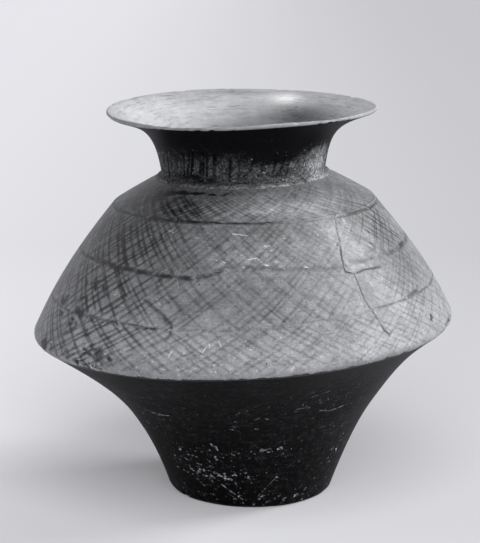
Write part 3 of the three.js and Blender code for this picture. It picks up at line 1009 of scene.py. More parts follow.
# One family of strokes in one zone; lean is -1 where they fall to the right and 1 where they rise
def latticeStrokes(draw, zone, family, lean):
    hand = latticeHand
    radius = radiusAt((lineRun(zone["from"], 0.0) + lineRun(zone["to"], 0.0)) / 2)
    count = round(2 * math.pi * radius / zone["apart"])
    drifts = draw.uniform(0, 2 * math.pi, 3)
    strokes = []
    for k in range(count):
        middle = (k + draw.normal(0, hand["place"])) * 360 / count - 180
        drift = sum(math.sin((i + 2) * math.radians(middle) + drifts[i]) for i in range(3)) / 3
        turned = math.radians(zone[family] + hand["drift"] * drift + draw.normal(0, hand["turn"]))
        bottom = lineRun(zone["from"], middle) + draw.normal(0, hand["ends"])
        top = lineRun(zone["to"], middle) + draw.normal(0, hand["ends"])
        if draw.random() < hand["short"]:
            cut = draw.uniform(*hand["cut"]) * (top - bottom)
            bottom, top = (bottom + cut, top) if draw.random() < 0.5 else (bottom, top - cut)
        sweep = lean * math.degrees((top - bottom) / math.tan(turned) / radius)
        bow = 4 * draw.normal(0, hand["bow"])
        points = [
            (middle + sweep * (share - 0.5), bottom + (top - bottom) * share + bow * share * (1 - share))
            for share in (0, 0.33, 0.67, 1)
        ]
        wide = draw.uniform(*hand["width"]) * between(hand["press"], middle)
        strokes.append((points, draw.uniform(*hand["strength"]), wide))
    return strokes


# A line round the jar is laid as overlapping dashes: how many points each has, how far it and its
# points stray (mm), and shares of its strength, its width and the way to the next one
dashHand = {
    "points": 7, "stray": 0.3, "shake": 0.1, "strength": (0.7, 1), "width": (0.8, 1.25), "next": (0.55, 0.8),
}


def levelDashes(draw, line, dash):
    hand = dashHand
    strokes = []
    at = -180.0
    while at < 180:
        length = draw.uniform(*dash)
        degrees = np.linspace(at, at + length, hand["points"])
        run = runAt(between(line["height"], fold(degrees)))
        run = run + draw.normal(0, hand["stray"]) + draw.normal(0, hand["shake"], hand["points"])
        middle = fold(degrees)[hand["points"] // 2]
        strength = float(between(line["show"], middle)) * draw.uniform(*hand["strength"])
        strokes.append((list(zip(degrees, run)), strength, line["width"] * draw.uniform(*hand["width"])))
        at += length * draw.uniform(*hand["next"])
    return strokes


def evenLine(height, strength):
    return {"height": ((0, height),), "show": ((0, strength),), "width": 1.0}


# How a scratch comes out: its shortest (mm), how far a level one slants and each one bends, its
# strength with more faint ones than strong, and its width
scratchHand = {
    "short": 1, "slant": 0.4, "bend": 0.05, "strength": (0.15, 1), "faint": 1.5, "width": (0.6, 1.6),
}


# Short scratches strewn over a field: degrees and height of its middle, its half size in mm, how
# many, how strong, how long in mm, how wide, and the share of them that lie near level
def strewScratches(draw, fields):
    hand = scratchHand
    strokes = []
    for degrees, height, halfWide, halfTall, count, strength, longest, width, level in fields:
        run, radius = runAt(height), radiusAt(runAt(height))
        for _ in range(count):
            around = degrees + math.degrees(draw.uniform(-halfWide, halfWide) / radius)
            place = np.array((around, run + draw.uniform(-halfTall, halfTall)))
            length = hand["short"] + (longest - hand["short"]) * draw.uniform() ** 2
            angle = draw.normal(0, hand["slant"]) if draw.random() < level else draw.uniform(0, math.pi)
            half = np.array((math.degrees(math.cos(angle) / radius), math.sin(angle))) * length / 2
            middle = place + draw.normal(0, hand["bend"], 2) * (math.degrees(length / radius), length)
            shown = strength * draw.uniform(*hand["strength"]) ** hand["faint"]
            wide = width * draw.uniform(*hand["width"])
            strokes.append(([place - half, middle, place + half], shown, wide))
    return strokes


# Marks laid one by one where the photograph shows them: (degrees, height) points, strength, width
def handLaid(marks):
    return [([(d, float(runAt(h))) for d, h in points], strength, width) for points, strength, width in marks]


allRound = 480  # mm, a little over half of the longest way round the jar

shoulderMarks = (
    (((-31.8, 168.3), (-23.9, 160.3), (-19.8, 153.8), (-19.5, 148.1), (-21.1, 144.4)), 0.7, 1.3),
    (((-58.9, 226.6), (-52, 225.9)), 0.9, 1.6),
    (((-41.3, 224.7), (-34, 224.1)), 0.8, 1.5),
    (((-45, 213.2), (-37, 213.0), (-29, 213.2)), 1.2, 2.1),
    (((-36.8, 212.4), (-24, 212.9), (-12, 212.6)), 1.0, 1.3),
    (((-8, 212.8), (5.5, 212.1), (14, 211.9)), 1.0, 1.0),
    (((47.5, 210.6), (56.5, 210.2), (66, 209.6)), 1.0, 1.3),
    (((-63, 185.5), (-58, 183.6), (-45, 182.9), (-38, 182.4), (-31, 182.0)), 1.0, 1.7),
    (((-36, 182.2), (-28, 181.6), (-22, 181.0), (-15, 180.6)), 0.9, 1.4),
    (((66.5, 181.3), (71.8, 182.4), (78, 182.5)), 0.9, 1.7),
    (((56.2, 181.7), (60.5, 181.3), (65, 182.3)), 0.6, 1.4),
    (((-70.8, 155.2), (-67, 154.8), (-64, 154.2)), 1.3, 3.2),
    (((-68.2, 156.3), (-64.2, 159.7)), 1.1, 1.2),
    (((-66.5, 149.9), (-62, 146.4)), 1.2, 1.3),
    (((-66.8, 147.3), (-67.5, 142)), 1.1, 1.0),
    (((-59.5, 157.2), (-54.8, 162.3), (-54, 161.6), (-52.2, 157.2)), 1.1, 1.2),
    (((-58, 153.3), (-54, 152), (-51, 150.7)), 1.2, 2.6),
    (((-51.4, 150.4), (-50.3, 154)), 1.2, 1.8),
    (((-60, 172.7), (-56.5, 167.3)), 1.2, 1.3),
    (((-55.2, 174.4), (-50.5, 165.6)), 1.2, 1.3),
    (((-49.8, 172.3), (-45.8, 165.2)), 1.2, 1.2),
    (((-56.5, 168.1), (-54.8, 170.6), (-50.3, 173.5)), 1.0, 0.9),
    (((-58.2, 149), (-52.2, 145.1)), 1.1, 1.3),
    (((-59.8, 139.8), (-57.5, 142.4), (-54.5, 147.3)), 1.2, 1.6),
    (((-58.6, 142.2), (-56.6, 142)), 1.3, 3.4),
    (((-48.8, 150.7), (-45.8, 150.3), (-44.5, 153.3)), 1.1, 1.2),
    (((-48, 139.4), (-45, 144.2)), 1.0, 1.0),
    (((-42.2, 141.6), (-40.2, 145.5)), 1.0, 1.1),
    (((-42.2, 134), (-40, 133.1), (-37.8, 132.2)), 1.3, 2.4),
    (((-37.8, 132.2), (-34.5, 128.6)), 1.1, 1.4),
    (((-51.8, 130), (-49.8, 133.6)), 1.0, 1.2),
    (((-47.2, 129.1), (-44, 132.7), (-42.5, 135.8)), 1.0, 1.1),
    (((-47.5, 134.5), (-43, 130.9), (-38.8, 127.3)), 1.0, 1.2),
    (((55, 153.2), (59, 154), (64, 154.6)), 0.7, 1.5),
    (((-50, 152.6), (-40, 152.0), (-30, 151.4), (-23, 151.0)), 0.8, 1.2),
)
# Painted shade along the mended cracks: dark lines that stand for the shadow down in the cracks
crackShadeMarks = (
    (((43.8, 214.8), (41.5, 210.9), (39, 202.8), (37.8, 194.2)), 0.5, 0.7),
    (((37.8, 194.2), (36.3, 188.8), (35.2, 180.5), (35.1, 178.3), (38.2, 176)), 0.75, 0.8),
    (((38.2, 176), (43.2, 177.1), (48, 176.3), (52, 176)), 0.8, 0.9),
    (((38.2, 176), (38.2, 168.1), (38.3, 158.6), (39.6, 151.5), (40.5, 144.6)), 0.5, 0.7),
    (((40.5, 144.6), (41.2, 139.4), (42.5, 136.1), (44.2, 138)), 0.9, 0.9),
)
shoulderPaleMarks = (
    (((-4.2, 206.7), (2.8, 205.1)), 1.0, 1.6),
    (((14.5, 202.4), (17.8, 202.4)), 1.0, 1.8),
    (((9.5, 195.3), (12.5, 196.9)), 1.0, 1.6),
    (((1.5, 191.4), (5.8, 192.2)), 1.0, 1.6),
    (((-2, 193.4), (0.8, 194.5)), 1.0, 1.6),
    (((-0.5, 187), (1.5, 187.4)), 1.0, 2.2),
    (((7.3, 188.2), (9.5, 187.4)), 1.0, 2.0),
    (((13.2, 185.2), (14.8, 185)), 1.0, 2.2),
    (((20.8, 185), (22.8, 184.1)), 1.0, 2.4),
    (((-21.4, 182.9), (-20.4, 182.9)), 1.2, 3.6),
    (((-27.2, 209), (-31, 205.9)), 1.0, 1.4),
    (((-32, 205.9), (-31.5, 201.2)), 1.0, 1.2),
    (((-24, 167.3), (-21.2, 164.4)), 1.0, 1.4),
    (((-26.8, 168.6), (-24.5, 164.4)), 1.0, 1.6),
    (((-63, 129.5), (-61.8, 130.9)), 1.2, 3.2),
    (((-43.4, 124.6), (-40.6, 122.6)), 1.2, 3.0),
)
shoulderScratches = (
    (0, 175, allRound, 62, 1300, 0.6, 9, 1.0, 0.6),
    (-35, 206, 12, 5, 14, 1.0, 9, 1.1, 0.5),
    (-25, 204, 18, 6, 14, 0.8, 10, 1.0, 0.7),
    (4, 196, 26, 9, 34, 1.0, 9, 1.1, 0.85),
    (14, 190, 14, 5, 14, 0.9, 7, 1.0, 0.8),
    (-22, 182, 16, 5, 12, 1.0, 5, 1.3, 0.7),
    (-20, 160, 22, 10, 26, 0.9, 8, 1.0, 0.3),
    (-50, 150, 20, 24, 90, 1.0, 6, 1.2, 0.3),
    (-32, 130, 28, 9, 80, 1.0, 8, 1.2, 0.4),
    (-5, 136, 40, 12, 160, 1.0, 10, 1.1, 0.6),
    (-20, 215, 34, 8, 60, 0.7, 6, 1.1, 0.5),
    (18, 134, 36, 11, 90, 0.7, 8, 1.0, 0.6),
    (45, 140, 36, 16, 60, 0.6, 7, 1.0, 0.4),
    (40, 195, 22, 22, 70, 0.7, 6, 1.1, 0.3),
    (30, 220, 26, 8, 60, 0.8, 6, 1.1, 0.4),
)
lowerMarks = (
    (((-18.8, 20.3), (-12, 13.5), (-4.4, 7.2)), 1.0, 1.6),
    (((15, 25.1), (4.2, 8.8)), 0.5, 1.4),
    (((-36.4, 22.4), (-29.2, 14.8)), 0.8, 1.5),
    (((-41, 47.6), (-38.6, 46.8)), 1.0, 7.0),
    (((-20.5, 56.4), (-17.6, 52.6), (-16.9, 49.6)), 1.0, 3.2),
    (((3.6, 50.2), (8.2, 49.8)), 0.9, 4.2),
    (((12.2, 49.6), (15.8, 50.4)), 1.0, 4.2),
    (((55, 37.5), (57.5, 33.0)), 0.9, 3.0),
    (((-31.5, 31.4), (-28.8, 29.0)), 0.9, 4.0),
    (((-25.8, 24.4), (-22.6, 23.2)), 0.9, 4.0),
    (((-18.5, 27.6), (-15.5, 25.0), (-10.2, 24.4)), 1.0, 3.2),
    (((-37.5, 30), (-34.5, 26.4)), 0.8, 3.0),
    (((-48, 79.6), (-38, 78.4), (-33.5, 79.2)), 0.8, 2.0),
    (((-10, 70.6), (-7.4, 69.0)), 0.7, 3.4),
    (((1, 70.4), (3, 69.2)), 0.7, 3.0),
    (((22, 93.8), (29, 97.2)), 0.6, 1.8),
    (((17, 83.8), (24, 84.2)), 0.6, 1.8),
    (((27, 79.4), (33, 76.4), (42, 78.6)), 0.8, 1.8),
    (((-14.2, 11.2), (-11.6, 10.2)), 0.9, 4.5),
    (((14.5, 26), (17, 24.5)), 0.9, 3.4),
)
lowerScratches = (
    (0, 60, allRound, 55, 1200, 0.45, 6, 1.0, 0.7),
    (0, 52, 60, 14, 130, 0.6, 4, 1.5, 0.6),
    (-22, 40, 34, 14, 90, 1.0, 3.6, 2.0, 0.5),
    (-30, 24, 26, 9, 40, 1.0, 4.0, 2.2, 0.5),
    (8, 47, 26, 9, 46, 0.9, 3.2, 1.8, 0.6),
    (2, 26, 40, 12, 60, 0.8, 4.0, 1.6, 0.6),
    (55, 34, 12, 16, 30, 0.9, 3.0, 1.8, 0.5),
    (-48, 70, 22, 18, 46, 0.8, 5.0, 1.3, 0.6),
    (12, 82, 40, 14, 110, 0.7, 6.0, 1.3, 0.7),
    (35, 90, 30, 18, 90, 0.8, 6.0, 1.1, 0.6),
    (-45, 88, 22, 12, 60, 0.9, 5.0, 1.2, 0.6),
    (45, 100, 26, 10, 60, 0.8, 5.0, 1.2, 0.6),
    (-58, 62, 10, 16, 30, 0.8, 4.0, 1.5, 0.4),
    (-5, 7, 60, 5, 70, 0.8, 3.0, 1.8, 0.6),
)
neckUprights = (
    (((-40.7, 235.6), (-33.1, 257.2)), 0.9, 1.2),
    (((-37.2, 234.6), (-30.8, 257.4)), 1.0, 1.3),
    (((-29.7, 236.7), (-25.6, 257.0)), 0.9, 1.1),
    (((-27.5, 236.7), (-23.6, 257.2)), 1.0, 1.2),
    (((-24.6, 235.6), (-21.5, 255.8)), 0.9, 1.1),
    (((-19.5, 235.8), (-16.4, 256.0)), 1.0, 1.4),
    (((42.7, 255.8), (46.4, 262.7)), 1.0, 1.4),
    (((58.1, 251.9), (50.6, 265.0)), 0.9, 1.4),
    (((63, 248), (58, 262)), 0.8, 1.2),
)
neckScratches = (
    (0, 244, 190, 12, 260, 0.5, 6, 1.0, 0.5),
    (22, 243, 12, 4, 22, 1.0, 3.5, 1.8, 0.7),
    (45, 236, 16, 5, 44, 1.0, 4, 1.6, 0.6),
    (-25, 241, 18, 6, 30, 0.6, 5, 1.0, 0.9),
    (22, 238, 30, 6, 70, 0.8, 3.5, 1.5, 0.6),
    (-8, 233, 26, 3, 30, 0.8, 4, 1.3, 0.8),
    (55, 248, 14, 8, 40, 0.7, 4, 1.3, 0.3),
)


# Where a field is higher or lower: its stations over the skin, and soft spots of (degrees, place,
# half width and half height in mm, amount). Outside, a place is a height; inside the rim it is a
# radius; on the lip it is millimetres from the edge, less than 0 outside.
def outside(*stations):
    return [(runAt(height), value) for height, value in stations]


def overLip(*stations):
    return [(lipRun + off, value) for off, value in stations]


def insideRim(*stations):
    return [(runAtInside(radius), value) for radius, value in stations]


def fieldOver(surface, field):
    total = between(field["by"], surface["run"])
    radius = radiusAt(surface["run"])
    for runOf, spots in ((runAt, "spots"), (runAtInside, "insideSpots")):
        for degrees, place, wide, tall, amount in field.get(spots, ()):
            across = np.radians(fold(surface["degrees"] - degrees)) * radius / wide
            up = (surface["run"] - runOf(place)) / tall
            total += amount * np.exp(-(across**2) - up**2)
    return total


# The most that each part of a tone may be
toneMost = {"shade": 1, "specks": 1, "show": 1.6}


# The tone is its shade, how many specks it has and how far strokes show, and its cover runs from
# worn, below 0, to sooty, above 0; in places its cover is painted shade above 0 and painted light below 0
def paintTone(surface, tone):
    values = [np.clip(fieldOver(surface, tone[name]), 0, most) for name, most in toneMost.items()]
    writeField(surface["mesh"], "tone", "POINT", np.stack(values, axis=1))
    writeField(surface["mesh"], "cover", "POINT", fieldOver(surface, tone["cover"]))
    writeSkin(surface)


shoulderTone = {
    "shade": {
        "by": outside(
            (118, 0.05), (119.2, 0.06), (121.0, 0.58), (124, 0.63), (140, 0.6), (165, 0.54), (190, 0.515),
            (211, 0.49), (228, 0.46),
        ),
        "spots": (
            (-50, 200, 60, 25, -0.02), (0, 220, 42, 9, 0.2), (30, 218, 30, 9, 0.13),
            (40, 170, 40, 40, 0.05), (5, 135, 70, 14, 0.05), (-20, 144, 56, 22, 0.12),
            # Painted highlight: the spots at 40° and 170 mm, 38° and 202 mm, 43° and 191 mm, and 47° and 165
            # mm lighten the streak where the key reflects on the right of the shoulder
            (-46, 140, 30, 18, 0.05), (-50, 130, 24, 10, 0.06), (-46, 222, 14, 5, -0.12),
            (38, 202, 13, 12, 0.13), (43, 191, 9, 8, 0.08), (47, 165, 12, 20, 0.06),
            (-2, 195, 50, 14, 0.07), (66, 188, 16, 30, -0.1), (10, 226, 44, 6, 0.09),
            (-38, 145, 40, 26, 0.03), (15, 214, 30, 5, 0.05),
        ),
    },
    "specks": {"by": outside((118, 0.5), (126, 0.9), (150, 0.7), (228, 0.7))},
    "show": {
        "by": outside((118, 0), (122, 0), (124.5, 0.3), (210, 0.3), (215, 0.26), (228, 0.26)),
        "spots": (
            (-52, 165, 50, 60, 0.75), (-45, 195, 30, 20, 0.6), (-40, 219, 40, 10, 0.8),
            (66, 199, 20, 20, 1.0), (62, 150, 20, 18, 0.2), (38, 185, 14, 26, -0.2),
            (10, 158, 24, 10, 0.15), (0, 200, 30, 10, 0.1), (25, 132, 40, 14, -0.1),
            (62, 138, 20, 20, -0.12), (42, 165, 14, 20, -0.12),
        ),
    },
    "cover": {
        "by": outside((118, 1.0), (120.4, 0.9), (122.2, 0.1), (125, 0.0), (222, 0.0), (228, 0.1)),
        "spots": (
            # Partly painted shadow: the first three spots darken the shoulder's top under the neck ridge on
            # the left, where the rim's shadow falls, as well as adding soot
            (-47, 225.5, 10, 4, 0.8), (-33, 227, 14, 2.4, 0.75), (-18, 227, 12, 1.8, 0.5),
            (-39, 213, 14, 2.6, 0.4), (-56, 222, 10, 6, 0.35), (-63, 216, 14, 8, 0.2),
            (-57, 166, 8, 5, 0.15), (-53, 152, 6, 5, 0.2), (-38, 161, 4, 3, 0.3), (-39.5, 132, 4, 3, 0.15),
            (-43, 124, 16, 3, 0.8), (-35, 127, 6, 3, 0.4), (-66, 127, 12, 6, 0.8), (-67, 155, 5, 5, 0.2),
            (72, 182, 5, 5, 0.2), (56, 180, 9, 10, 0.2), (62, 134, 7, 7, 0.3), (75, 126, 12, 4, 0.7),
            (56, 154, 5, 3, 0.25), (53, 192, 8, 12, 0.25), (21, 181, 16, 8, 0.12), (17, 166, 18, 14, 0.1),
            (-60, 185, 20, 14, 0.12), (11.5, 217.8, 14, 4, -0.6), (3, 218, 20, 5, -0.25),
            (25, 226.6, 12, 3, -0.35), (36, 208, 8, 3, -0.3), (44.5, 203.6, 14, 6, -0.45),
            (39, 180.8, 5, 2.6, -0.9), (43, 180.5, 4, 2, -0.8), (40, 183.5, 9, 3, -0.35),
            (43, 170, 10, 8, -0.5), (45.5, 153.8, 8, 9, -0.45), (39, 143.8, 8, 8, -0.4),
            (32, 166, 7, 12, -0.25), (-36, 158, 5, 3, -0.35), (-33, 146, 6, 4, -0.35),
            (-20.5, 141, 14, 5, -0.3), (-42.5, 125, 5, 2, -0.4), (-27, 131, 5, 3, -0.35),
            (-14, 151, 8, 5, -0.25), (-3, 148, 20, 6, -0.2), (2, 133, 30, 8, -0.3), (15, 137, 25, 8, -0.3),
            (29, 135, 20, 10, -0.35),
        ),
    },
}
lowerTone = {
    "shade": {
        "by": outside((0, 0.01), (118, 0.01)),
        # Partly a painted reflection: the spot at 45° lightens the right of the black wall where it reflects
        # the pale surround, along with grey haze there
        "spots": ((45, 75, 40, 50, 0.035), (-48, 80, 20, 30, 0.03)),
    },
    "specks": {"by": outside((0, 0.6), (12, 0.9), (55, 0.8), (75, 0.6), (118, 0.5))},
    "show": {"by": outside((0, 0), (118, 0))},
    "cover": {
        "by": outside((0, -0.2), (10, -0.1), (118, -0.05)),
        "spots": (
            (-30, 42, 26, 12, -0.3), (-24, 26, 24, 9, -0.35), (8, 47, 24, 7, -0.28), (56, 34, 12, 12, -0.3),
            (0, 8, 60, 6, -0.25), (5, 26, 24, 8, -0.2), (-48, 75, 20, 14, -0.15), (25, 90, 40, 20, -0.1),
        ),
    },
}
neckTone = {
    "shade": {
        "by": outside(
            (225, 0.46), (229, 0.5), (231.5, 0.44), (234, 0.36), (250, 0.36), (257, 0.28), (275, 0.2),
        ),
        "spots": (
            (62, 244, 18, 16, 0.2), (70, 236, 14, 8, 0.12), (10, 229, 44, 2.6, 0.14),
            (40, 236, 20, 5, 0.08),
        ),
    },
    "specks": {"by": outside((225, 0.8), (250, 0.9), (258, 0.4), (275, 0.3))},
    "show": {"by": outside((225, 0.2), (232, 1), (256, 1), (262, 0.4), (275, 0))},
    "cover": {
        # Partly painted shade: the cover rises to near black from about 250 mm up to the lip, under the rim's
        # overhanging flare, as well as the smoke
        "by": outside(
            (225, 0.0), (230, -0.05), (233, 0.3), (238, 0.2), (243, 0.25), (249, 0.5), (256, 0.95),
            (261, 1.3), (275, 1.4),
        ),
        "spots": (
            (-40, 236, 14, 3, 0.5), (-22, 235, 10, 2.5, 0.4), (18, 250, 14, 6, 0.7), (30, 248, 8, 6, 0.4),
            (-45, 246, 12, 8, 0.15), (30, 238, 14, 4, 0.3), (22.5, 243.4, 4, 2, -0.9),
            (59, 235, 8, 4, -0.9), (42, 234, 9, 3, -0.6), (32, 244, 4, 2, -0.8), (60, 248, 12, 10, -0.5),
            (5, 230.5, 30, 2.5, -0.25), (35, 230.5, 16, 2.5, -0.3), (-44, 228.5, 10, 2.4, 0.5),
            (-10, 240, 16, 5, -0.2),
        ),
    },
}
rimTone = {
    "shade": {
        "by": (
            neckTone["shade"]["by"]
            + overLip((-2.6, 0.3), (-1.8, 0.6), (0, 0.7), (2.2, 0.68))
            + insideRim((90, 0.72), (80, 0.74), (60, 0.68))
        ),
        "spots": neckTone["shade"]["spots"],
        # Painted light and shade inside the rim: the spots at -110° and -150° lighten its lit left, those at
        # 140° and 125° darken its shaded right, and the one at 156° is a painted highlight
        "insideSpots": (
            (-110, 78, 34, 18, 0.02), (-150, 68, 26, 10, 0.06), (156, 81, 10, 7, 0.3),
            (176, 66, 10, 8, 0.04), (140, 64, 20, 8, -0.2), (125, 70, 24, 8, -0.08),
            (-175, 88, 26, 4, -0.1),
        ),
    },
    "specks": {"by": neckTone["specks"]["by"] + insideRim((92, 0.5), (60, 0.4))},
    "show": {"by": neckTone["show"]["by"]},
    "cover": {
        "by": (
            neckTone["cover"]["by"]
            + overLip((-2.6, 1.0), (-2.0, 0.0), (0, -0.2), (2.2, 0.0))
            + insideRim((60, 0.0))
        ),
        "spots": neckTone["cover"]["spots"],
        # Painted light and shade too: paler on the lit left of the inside, darker on its shaded right
        "insideSpots": ((-110, 80, 30, 20, -0.1), (-145, 66, 12, 10, -0.15), (150, 66, 24, 10, 0.15)),
    },
}


# The seeds of each piece's marks, and the level lines of each: how long their dashes are in degrees,
# and where there is no list of lines above, their heights and strengths
markSeeds = {
    "shoulderLevel": 21, "shoulderScratches": 33, "lowerLevel": 52, "lowerScratches": 53,
    "uprights": 61, "neckLevel": 62, "neckScratches": 63, "rimLevel": 72, "rimScratches": 73,
}
shoulderDash = (14, 34)
lowerLines = {"heights": range(8, 118, 5), "strength": 0.8, "dash": (6, 30)}
neckLines = {"rings": ((228.5, 0.3), (233, 0.6), (236.5, 0.5), (240.5, 0.4), (245, 0.4)), "dash": (8, 26)}


def drawFor(marks):
    return np.random.default_rng(markSeeds[marks])


def markShoulder(surface):
    for seed, (family, lean) in enumerate((("falling", -1), ("rising", 1))):
        draw = np.random.default_rng(latticeHand["seed"] + seed)
        laid = [s for zone in latticeZones for s in latticeStrokes(draw, zone, family, lean)]
        layStrokes(surface, family, laid)
    draw = drawFor("shoulderLevel")
    lines = [s for line in shoulderLines.values() for s in levelDashes(draw, line, shoulderDash)]
    layStrokes(surface, "level", lines + handLaid(shoulderMarks + crackShadeMarks))
    pale = strewScratches(drawFor("shoulderScratches"), shoulderScratches) + handLaid(shoulderPaleMarks)
    layStrokes(surface, "scratches", pale)
    paintTone(surface, shoulderTone)


def markLower(surface):
    draw = drawFor("lowerLevel")
    lines = [evenLine(height, lowerLines["strength"]) for height in lowerLines["heights"]]
    layStrokes(surface, "level", [s for line in lines for s in levelDashes(draw, line, lowerLines["dash"])])
    pale = strewScratches(drawFor("lowerScratches"), lowerScratches) + handLaid(lowerMarks)
    layStrokes(surface, "scratches", pale)
    paintTone(surface, lowerTone)


# Upright strokes round the neck, besides the listed ones and clear of them: the heights of their
# ends, how far their tops lean, their strength and width, and the degrees from one to the next
neckHand = {
    "bottom": (232, 240), "top": (250, 258), "lean": (2, 3), "strength": (0.2, 0.8), "width": (0.8, 1.4),
    "next": (4, 9), "clear": ((-43, -14), (38, 66)),
}


def neckStrokes():
    hand = neckHand
    draw = drawFor("uprights")
    strokes = handLaid(neckUprights)
    at = -180.0
    while at < 180:
        if not any(low < at < high for low, high in hand["clear"]):
            bottom = (at, draw.uniform(*hand["bottom"]))
            top = (at + draw.normal(*hand["lean"]), draw.uniform(*hand["top"]))
            look = (draw.uniform(*hand["strength"]), draw.uniform(*hand["width"]))
            strokes += handLaid((((bottom, top), *look),))
        at += draw.uniform(*hand["next"])
    return strokes


def markNeck(surface):
    layStrokes(surface, "uprights", neckStrokes())
    draw = drawFor("neckLevel")
    lines = [s for ring in neckLines["rings"] for s in levelDashes(draw, evenLine(*ring), neckLines["dash"])]
    layStrokes(surface, "level", lines)
    layStrokes(surface, "scratches", strewScratches(drawFor("neckScratches"), neckScratches))
    paintTone(surface, neckTone)


# Wiped rings round the inside of the rim: their radii in mm, where their strokes start and how long
# they are in degrees, how far their points stray in mm, and their strength and width
wipedHand = {
    "radii": range(56, 96, 3), "starts": range(-180, 180, 24), "shift": (-8, 8), "long": (10, 40),
    "points": 6, "stray": 0.8, "strength": (0.2, 1), "width": (0.6, 1.6),
}


def wipedRings(draw):
    hand = wipedHand
    strokes = []
    for radius in hand["radii"]:
        for start in hand["starts"]:
            shift = draw.uniform(*hand["shift"])
            degrees = start + shift + np.linspace(0, draw.uniform(*hand["long"]), hand["points"])
            run = runAtInside(radius) + draw.normal(0, hand["stray"], hand["points"])
            look = (draw.uniform(*hand["strength"]), draw.uniform(*hand["width"]))
            strokes.append((list(zip(degrees, run)), *look))
    return strokes


def markRim(surface):
    layStrokes(surface, "uprights", neckStrokes())
    layStrokes(surface, "level", wipedRings(drawFor("rimLevel")))
    layStrokes(surface, "scratches", strewScratches(drawFor("rimScratches"), neckScratches))
    paintTone(surface, rimTone)


# Each slot's clay
clays = {
    "grey_burnish": firedClay("burnishedGreyEarthenware", greyBurnished),
    "black_burnish": firedClay("carbonBlackBurnish", blackBurnished),
    "smoked_grey": firedClay("smokedEarthenware", smokedClay),
    "pale_rim": firedClay("wornPaleEarthenware", paleClay),
}

# The rim's outside is smoked like the neck, up to so many mm from the edge of its lip, its near-black band
# under the flare partly painted shade. The skin is smooth, and joints and broken edges, past so many degrees,
# are crisp.
smokedTo = -2.3
crispAngle = 48


def finishPiece(piece, node, slot, mark, standing=False, smokedOutside=False):
    surface = readSurface(piece)
    mark(surface)
    shapeByHand(surface, standing)
    mesh = piece.data
    mesh.shade_smooth()
    mesh.set_sharp_from_angle(angle=math.radians(crispAngle))
    mesh.materials.clear()
    mesh.materials.append(clays[slot])
    if smokedOutside:
        mesh.materials.append(clays["smoked_grey"])
        smoked = (surface["faceRun"] < lipRun + smokedTo).astype(np.int32)
        mesh.polygons.foreach_set("material_index", smoked)
    piece.name = mesh.name = node + "_clay"
    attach(piece, "root")
    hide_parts(node)
    print("made", piece.name, len(mesh.polygons), "faces")


finishPiece(turnRing("foot", footProfile()), "foot_disc", "black_burnish", markLower, standing=True)
finishPiece(turnRing("lower", lowerProfile()), "lower_wall", "black_burnish", markLower)
for piece, node in zip(breakShoulder(), ("shoulder_wall", "shoulder_sherd_upper", "shoulder_sherd_lower")):
    finishPiece(piece, node, "grey_burnish", markShoulder)
finishPiece(turnRing("top", topProfile()), "shoulder_top", "grey_burnish", markShoulder)
finishPiece(turnRing("neck", neckProfile()), "neck_collar", "smoked_grey", markNeck)
finishPiece(turnRing("rim", rimProfile()), "rim_flange", "pale_rim", markRim, smokedOutside=True)

# A wide pale floor, its colour painted darker to the right and far back as shade, with two soft lights of its
# own, and a large soft key from the right
studio = {
    "floorRadius": 40.0,  # m
    "floorCorners": 128,
    # Painted shade on the floor: darker to the right, and darker again far behind the jar
    "floor": ((-0.6, "#b0b0b4"), (0.6, "#969699")),  # by metres to the right
    "far": (0.1, 0.8),  # m behind the jar, where the tint of the far floor sets in
    "farTint": "#f1f1f1",
    "floorGlow": 0.38,
    "paper": {"Roughness": 0.9, "Specular IOR Level": 0.1},
    "away": 3,  # m to a lamp, which shines from far off all the same
    "key": {"turn": 90, "rise": 40, "size": 60, "power": 3.3},
    "floorFront": {"turn": 6.8, "rise": 43.7, "size": 57, "power": 3.9},
    "floorSide": {"turn": 110, "rise": 26, "size": 22, "power": 3.3},
    "fill": 0.36,
    "surround": "#dcdce0",
}


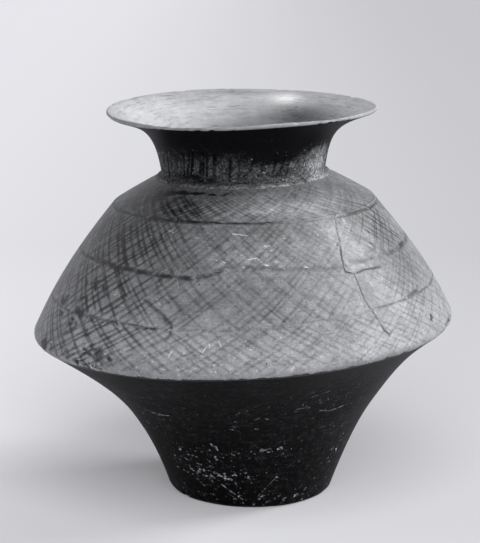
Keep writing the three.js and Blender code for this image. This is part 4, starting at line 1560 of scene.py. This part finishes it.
def buildFloor():
    count, radius = studio["floorCorners"], studio["floorRadius"]
    angles = np.arange(count) * 2 * np.pi / count
    points = [(radius * math.cos(a), radius * math.sin(a), 0) for a in angles]
    floor = addMesh("studioFloor", points, [tuple(range(count))])
    material = bpy.data.materials.new("paperSweep")
    material.use_nodes = True
    tree = material.node_tree
    where = addNode(tree, "SeparateXYZ", {0: addNode(tree, "TexCoord").outputs["Object"]})
    # Painted shade: the floor's colour darkens to the right and is multiplied by the far shade behind the jar
    (left, leftColour), (right, rightColour) = studio["floor"]
    across = {0: where.outputs["X"], 1: left, 2: right}
    share = addNode(tree, "MapRange", across, interpolation_type="SMOOTHSTEP")
    sides = {0: share, 6: hexColour(leftColour), 7: hexColour(rightColour)}
    colour = addNode(tree, "Mix", sides, data_type="RGBA").outputs[2]
    near, far = studio["far"]
    share = addNode(tree, "MapRange", {0: where.outputs["Y"], 1: near, 2: far})
    tint = {0: share, 6: colour, 7: hexColour(studio["farTint"])}
    colour = addNode(tree, "Mix", tint, data_type="RGBA", blend_type="MULTIPLY").outputs[2]
    seen = addNode(tree, "LightPath").outputs["Is Camera Ray"]
    glow = addNode(tree, "Math", {0: seen, 1: studio["floorGlow"]}, operation="MULTIPLY")
    look = {"Base Color": colour, "Emission Color": colour, "Emission Strength": glow}
    plugIn(tree, tree.nodes["Principled BSDF"], look | studio["paper"])
    floor.data.materials.append(material)
    return floor


# A distant softbox that lights only the floor, or all but the floor. It stands so many degrees
# round from the front towards +X and so many up, and its size is its spread in degrees.
def addSoftbox(name, floor, state):
    look = studio[name]
    lamp = addObject(name, bpy.data.lights.new(name, "SUN"))
    lamp.data.energy = look["power"]
    lamp.data.angle = math.radians(look["size"])
    turn, rise = math.radians(look["turn"]), math.radians(look["rise"])
    towards = Vector((math.sin(turn) * math.cos(rise), -math.cos(turn) * math.cos(rise), math.sin(rise)))
    lamp.location = towards * studio["away"]
    lamp.rotation_mode = "QUATERNION"
    lamp.rotation_quaternion = towards.to_track_quat("Z", "Y")
    lit = bpy.data.collections.new(name + "Lit")
    lit.objects.link(floor)
    lit.collection_objects[0].light_linking.link_state = state
    lamp.light_linking.receiver_collection = lit


# The jar is lit by an even fill, and the camera, gloss and glass see the surround's own grey
def lightStudio(floor):
    addSoftbox("key", floor, "EXCLUDE")
    addSoftbox("floorFront", floor, "INCLUDE")
    addSoftbox("floorSide", floor, "INCLUDE")
    world = bpy.data.worlds.new("studioSurround")
    world.use_nodes = True
    bpy.context.scene.world = world
    tree = world.node_tree
    ray = addNode(tree, "LightPath").outputs
    seen = ray["Is Camera Ray"]
    for kind in ("Is Glossy Ray", "Is Transmission Ray"):
        seen = addNode(tree, "Math", {0: seen, 1: ray[kind]}, operation="MAXIMUM")
    fill = (studio["fill"], studio["fill"], studio["fill"], 1)
    colour = addNode(tree, "Mix", {0: seen, 6: fill, 7: hexColour(studio["surround"])}, data_type="RGBA")
    plugIn(tree, tree.nodes["Background"], {"Color": colour.outputs[2]})


lightStudio(buildFloor())
bpy.context.scene.view_settings.view_transform = "Standard"
print("floor and lights set")
